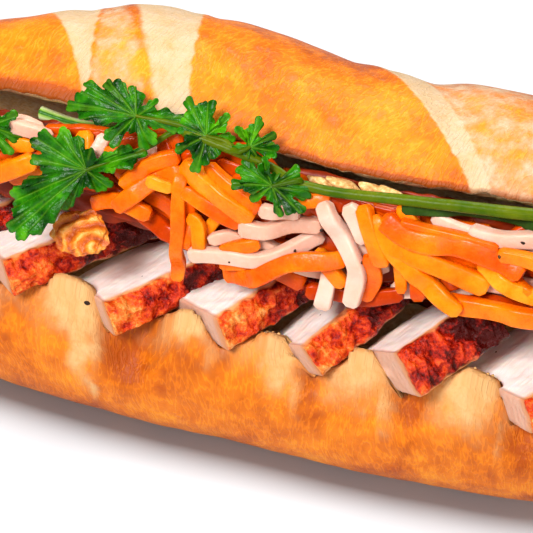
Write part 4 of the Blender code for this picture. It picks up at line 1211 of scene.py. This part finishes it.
# One leaflet as points, faces and fields: a grid from the middle to the rim for each side, joined at the rim
def leafBlade(leaf, seed):
    facing = np.array(leaf["facing"]) / np.linalg.norm(leaf["facing"])
    ahead = np.array((1.0, 0, 0)) - facing * facing[0]
    ahead /= np.linalg.norm(ahead)
    sideways = np.cross(facing, ahead)
    centre = fromPicture(leaf["middle"], leaf["rests"], facing)
    spots = np.array([fromPicture(tip[:2], leaf["rests"], facing) - centre for tip in leaf["tips"]])
    tips = np.stack([spots @ ahead, spots @ sideways], -1)
    edge, soft, aside, owner, tooth = leafRim(tips, np.radians([tip[2] for tip in leaf["tips"]]))
    share = (np.arange(1, coriander["across"] + 1) / coriander["across"])[:, None]
    grid = share[..., None] * (edge * share[..., None] ** 2 + soft * 0.94 * (1 - share[..., None] ** 2))
    a, b = grid[..., 0], grid[..., 1]
    fromAxis = np.abs(np.hypot(a, b) * np.sin(np.clip(np.abs(aside), 0, 1.4)))
    lift = np.array([math.sin(4.3 * k + 2.2 * seed) for k in range(len(tips))])[owner]
    kernel = np.hanning(17) / np.hanning(17).sum()
    lift = np.convolve(np.tile(lift, 3), kernel, "same")[len(owner):2 * len(owner)]
    turn = np.arctan2(b, a)
    wave = coriander["ruffle"] * lift * share**1.6 + 0.5 * np.sin(11 * turn + 2 * seed) * share**3
    wave = wave + coriander["crease"] * np.minimum(fromAxis, 3.0) * smooth(share * 3 - 0.4)
    wave = wave - 0.006 * (a * a + b * b)
    spread = np.stack([a, b, np.zeros_like(a)], -1)
    puckers = 1.1 * lumps(spread, 7.0, seed + 2) + coriander["pucker"] * lumps(spread, 2.4, seed + 5)
    wave = wave + puckers * smooth(share * 2)
    veinLine = np.exp(-((fromAxis / 0.22) ** 2)) * smooth(1.25 - share * 0.6)
    side = smooth((tooth - 0.93) / 0.07) * smooth((share - 0.4) / 0.2) * 0.5
    vein = np.maximum(veinLine, side)
    wave = wave - 0.3 * vein
    points, fields, faces = [], {"leafPlace": [], "vein": []}, []
    count, rows = coriander["rim"], coriander["across"]
    for sign in (-0.5, 0.5):
        thin = sign * coriander["thickness"] * (1.1 - 0.8 * share**4)
        sheet = centre + a[..., None] * ahead + b[..., None] * sideways + (wave + thin)[..., None] * facing
        offset = len(points) * (rows * count + 1)
        middle = centre + facing * (sign * coriander["thickness"] * 1.1 - 0.3)
        points.append(np.concatenate([sheet.reshape(-1, 3), middle[None]]))
        flat = np.stack([a + 31 * seed, b, np.zeros_like(a)], -1).reshape(-1, 3)
        fields["leafPlace"].append(np.concatenate([flat, [[31 * seed, 0, 0]]]))
        fields["vein"].append(np.append(vein.ravel(), 0.8))
        k = np.arange(count)
        n = (k + 1) % count
        low = np.arange(rows - 1)[:, None] * count
        quads = np.stack([low + k, low + count + k, low + count + n, low + n], -1).reshape(-1, 4) + offset
        fan = np.stack([np.full(count, rows * count), k, n], -1) + offset
        if sign < 0:
            quads, fan = quads[:, ::-1], fan[:, ::-1]
        faces += quads.tolist() + fan.tolist()
    rim = (rows - 1) * count
    second = rows * count + 1
    faces += np.stack([rim + k, rim + n, second + rim + n, second + rim + k], -1).tolist()
    return np.concatenate(points), faces, {key: np.concatenate(v) for key, v in fields.items()}, centre


def makeSprig(name, node, stalk, leaves, leafFinish, stemFinish):
    points, faces, fields, count = [], [], {"leafPlace": [], "vein": []}, 0
    main = smoothLine(stalk, 1.5)
    run = np.linspace(0, 1, len(main))
    lines = [(main, (1 - 0.4 * run) * endShares(run * 100, 3), 0.3)]
    for number, leaf in enumerate(leaves):
        blade, bladeFaces, bladeFields, centre = leafBlade(leaf, number + len(stalk))
        faces += [[corner + count for corner in face] for face in bladeFaces]
        count += len(blade)
        points.append(blade)
        for key, values in bladeFields.items():
            fields[key].append(values)
        facing = np.array(leaf["facing"]) / np.linalg.norm(leaf["facing"])
        bends = [fromPicture(pixel, leaf["rests"], facing) for pixel in leaf["stem"]]
        root = min(stalk, key=lambda spot: math.dist(spot, bends[0]))
        petiole = smoothLine((root, *bends, centre), 1.2)
        lines.append((petiole, np.linspace(0.6, 0.6 * coriander["petioleWidth"], len(petiole)), 0.0))
    fields = {key: np.concatenate(values) for key, values in fields.items()}
    blades = meshPiece(name + "Leaves", np.concatenate(points), faces, leafFinish, fields)
    width = coriander["stalkWidth"]
    stems = makeStrips(name + "Stems", lines, stemFinish, width, width * 0.94, 0.25, 0.5)
    for piece in (blades, stems):
        place(piece, "coriander", node)


sprigFinishes = leafMaterial(), vegetableMaterial("corianderStem")
makeSprig("coriander", "coriander_sprig", coriander["stalk"], coriander["leaves"], *sprigFinishes)
makeSprig(
    "corianderEnd", "coriander_end_sprig", coriander["endStalk"], coriander["endLeaves"], *sprigFinishes
)
print("coriander made")


# A curled chip of crackling: puffed, brittle, oily gold with browned crests
flake = dict(middle=(-39.5, -28.2, 61.8), size=(13.5, 10.5, 3.4), tilt=32, ridges=24, rows=90, count=140)


def makeFlake():
    made, tree = newMaterial("puffedCrackling")
    where = addNode(tree, "TexCoord").outputs["Object"]
    crag = addNode(tree, "Attribute", attribute_name="crag").outputs["Fac"]
    fine = addNode(tree, "TexNoise", {"Vector": where, "Scale": 1000 / 0.9, "Detail": 4.0})
    tone = addNode(tree, "Math", (fine, 0.5, crag), operation="MULTIPLY_ADD")
    tone = addNode(tree, "Math", (tone, 0.25), operation="SUBTRACT", use_clamp=True)
    stops = ((0.0, "#9A380A"), (0.3, "#C25A12"), (0.55, "#DC7818"), (0.8, "#EA9432"), (1.0, "#F4B460"))
    colour = addNode(tree, "ValToRGB", (tone,), stops=stops)
    gloss = addNode(tree, "Math", (fine, 0.25, 0.2), operation="MULTIPLY_ADD")
    finishMaterial(
        tree, colour, gloss, fine, 0.0006, Specular_IOR_Level=0.5, Subsurface_Weight=0.15,
        Subsurface_Radius=(1.6, 0.7, 0.3), Subsurface_Scale=mm, IOR=1.45,
    )
    ball = 0.5 * ballRings(flake["rows"], flake["count"])
    rough = 1 + 0.22 * lumps(ball * 12, 3.0, 2) + 0.1 * lumps(ball * 12, 1.2, 3)
    places = ball * np.array(flake["size"]) * rough[..., None]
    wander = 2.2 * lumps(places, 5.0, 4)
    ridges = np.sin(flake["ridges"] * np.hypot(ball[..., 0] - 0.35, ball[..., 1] + 0.25) + wander)
    crag = 0.5 + 0.3 * ridges + 0.45 * lumps(places, 2.0, 6)
    faces = np.sign(ball[..., 2]) * smooth(np.abs(ball[..., 2]) * 3)
    places[..., 2] += 0.5 * np.sin(5 * ball[..., 0]) + faces * (0.45 * ridges + 0.7 * lumps(places, 2.6, 8))
    tilt = math.radians(flake["tilt"])
    y = places[..., 1] * math.cos(tilt) - places[..., 2] * math.sin(tilt)
    z = places[..., 1] * math.sin(tilt) + places[..., 2] * math.cos(tilt)
    rings = np.stack([places[..., 0], y, z], -1) + np.array(flake["middle"])
    return loft("cracklingChip", rings, made, {"crag": np.clip(crag, 0, 1)})


place(makeFlake(), "crackling", "crackling_flake")
print("crackling made")


# Crumbs torn from the lip and ground pepper: small rough grains scattered over a piece, where its field lets
# them
def grainTree(finish, byField):
    tree, given = newTree(
        "grainsOf" + finish.name[0].upper() + finish.name[1:], ("Density", "Smallest", "Largest")
    )
    density = given["Density"]
    if byField:
        field = addNode(tree, "GeometryNodeInputNamedAttribute", {"Name": "strewn"}, data_type="FLOAT")
        density = addNode(tree, "Math", (field, density), operation="MULTIPLY")
    spots = addNode(
        tree, "GeometryNodeDistributePointsOnFaces",
        {"Mesh": given["Geometry"], "Density": density, "Seed": given["Seed"]}, distribute_method="RANDOM",
    )
    ball = addNode(tree, "GeometryNodeMeshIcoSphere", {"Radius": 1.0, "Subdivisions": 2})
    rough = addNode(tree, "TexNoise", {"Scale": 1.1, "Detail": 2.0}).outputs["Color"]
    rough = addNode(tree, "VectorMath", (rough, (0.5, 0.5, 0.5)), operation="SUBTRACT")
    rough = addNode(tree, "VectorMath", {0: rough, "Scale": 1.6}, operation="SCALE")
    ball = addNode(tree, "GeometryNodeSetPosition", {"Geometry": ball, "Offset": rough})
    size = addNode(
        tree, "FunctionNodeRandomValue", {2: given["Smallest"], 3: given["Largest"], "Seed": 5},
        data_type="FLOAT",
    ).outputs[1]
    turn = addNode(
        tree, "FunctionNodeRandomValue", {0: (0.0, 0.0, 0.0), 1: (6.28, 6.28, 6.28), "Seed": 9},
        data_type="FLOAT_VECTOR",
    )
    grains = addNode(
        tree, "GeometryNodeInstanceOnPoints",
        {"Points": spots, "Instance": ball, "Rotation": turn, "Scale": size},
    )
    grains = addNode(tree, "GeometryNodeRealizeInstances", (grains,))
    grains = addNode(tree, "GeometryNodeSetShadeSmooth", {"Geometry": grains})
    grains = addNode(tree, "GeometryNodeSetMaterial", {"Geometry": grains, "Material": finish})
    addNode(tree, "NodeGroupOutput", (grains,))
    return tree


# Grains for each square metre, and their radii in millimetres
def strew(name, over, finish, density, smallest, largest, byField, seed):
    host = bpy.data.objects.new(name + "Host", bpy.data.objects[over].data)
    sizes = dict(Density=float(density), Smallest=smallest * mm, Largest=largest * mm)
    return grow(host, name, grainTree(finish, byField), Seed=seed, **sizes)


# Dry crumb is matt and pale with toasted bits; pepper is near black with brown faces
def grainMaterial(name, stops, roughness):
    made, tree = newMaterial(name)
    where = addNode(tree, "TexCoord").outputs["Object"]
    tone = addNode(tree, "TexNoise", {"Vector": where, "Scale": 1000 / 0.9, "Detail": 2.0})
    colour = addNode(tree, "ValToRGB", (tone,), stops=stops)
    gloss = addNode(tree, "Math", (tone, 0.2, roughness), operation="MULTIPLY_ADD")
    finishMaterial(tree, colour, gloss, tone, 0.0002, Specular_IOR_Level=0.3, IOR=1.45)
    return made


# Shreds of crumb that hang along the crown's rim, as pixels of the photograph with a length and a height
crumbShreds = ((322, 182, 6.0, 1.8), (343, 184, 7.0, 1.6), (371, 188, 5.5, 2.2), (389, 192, 6.0, 2.0))


def crumbShred(number, finish):
    across, up, length, height = crumbShreds[number - 1]
    ball = ballRings(24, 40)[..., [2, 0, 1]]
    rough = 1 + 0.4 * lumps(ball * 4, 3.5, number)
    rings = 0.5 * ball * np.array((length, 2.4, height)) * rough[..., None]
    rings[..., 2] -= 0.16 * rings[..., 0]
    middle = fromPicture((across, up), (0, -15.2, 0), np.array((0.0, 1.0, 0.0)))
    return loft(f"crumbShred{number}", rings + middle, finish)


# Coarser flakes of pepper, as pixels of the photograph, the piece that carries each one and its radius
pepperFlakes = (
    (87, 303, "breadBottomHalf", 0.55), (362, 263, "radishStrips", 0.4), (486, 222, "radishStrips", 0.4),
    (523, 243, "radishStrips", 0.45), (470, 348, "porkSlice7", 0.45), (496, 352, "porkSlice7", 0.35),
)


def pepperFlake(number, finish):
    across, up, carrier, radius = pepperFlakes[number - 1]
    near, far = (fromPicture((across, up), (0, y, 0), np.array((0.0, 1.0, 0.0))) for y in (-90, 10))
    sight = Vector(far - near).normalized()
    hit, spot, normal, _ = bpy.data.objects[carrier].ray_cast(Vector(near) * mm, sight)
    if not hit:
        return None
    normal = np.array(normal)
    ahead = np.cross(normal, (0.3, 0.2, 0.9))
    ahead /= np.linalg.norm(ahead)
    ball = ballRings(9, 14, 0.05)
    ball = ball * (1 + 0.6 * lumps(ball, 1.3, number))[..., None] * radius * np.array((1.3, 0.8, 0.35))
    turned = ball @ np.array((ahead, np.cross(normal, ahead), normal))
    return loft(f"pepperFlake{number}", turned + np.array(spot) / mm, finish)


crumbFinish = grainMaterial("tornBreadCrumb", ((0.3, "#B87C3C"), (0.55, "#D6A868"), (0.7, "#E6C692")), 0.7)
pepperFinish = grainMaterial(
    "groundBlackPepper", ((0.35, "#140904"), (0.6, "#3A2010"), (0.75, "#6A4424")), 0.5
)
place(strew("breadCrumbs", "breadBottomHalf", crumbFinish, 200000, 0.16, 0.45, True, 4), "crust")
for number, over in enumerate(("radishStrips", "carrotStrips"), 1):
    place(strew(f"pepper{number}", over, pepperFinish, 1400, 0.18, 0.42, False, number + 6), "pickles")
for number in range(1, len(crumbShreds) + 1):
    place(crumbShred(number, crumbFinish), "crust")
for number in range(1, len(pepperFlakes) + 1):
    piece = pepperFlake(number, pepperFinish)
    if piece:
        place(piece, "pickles")
print("crumbs and pepper made")
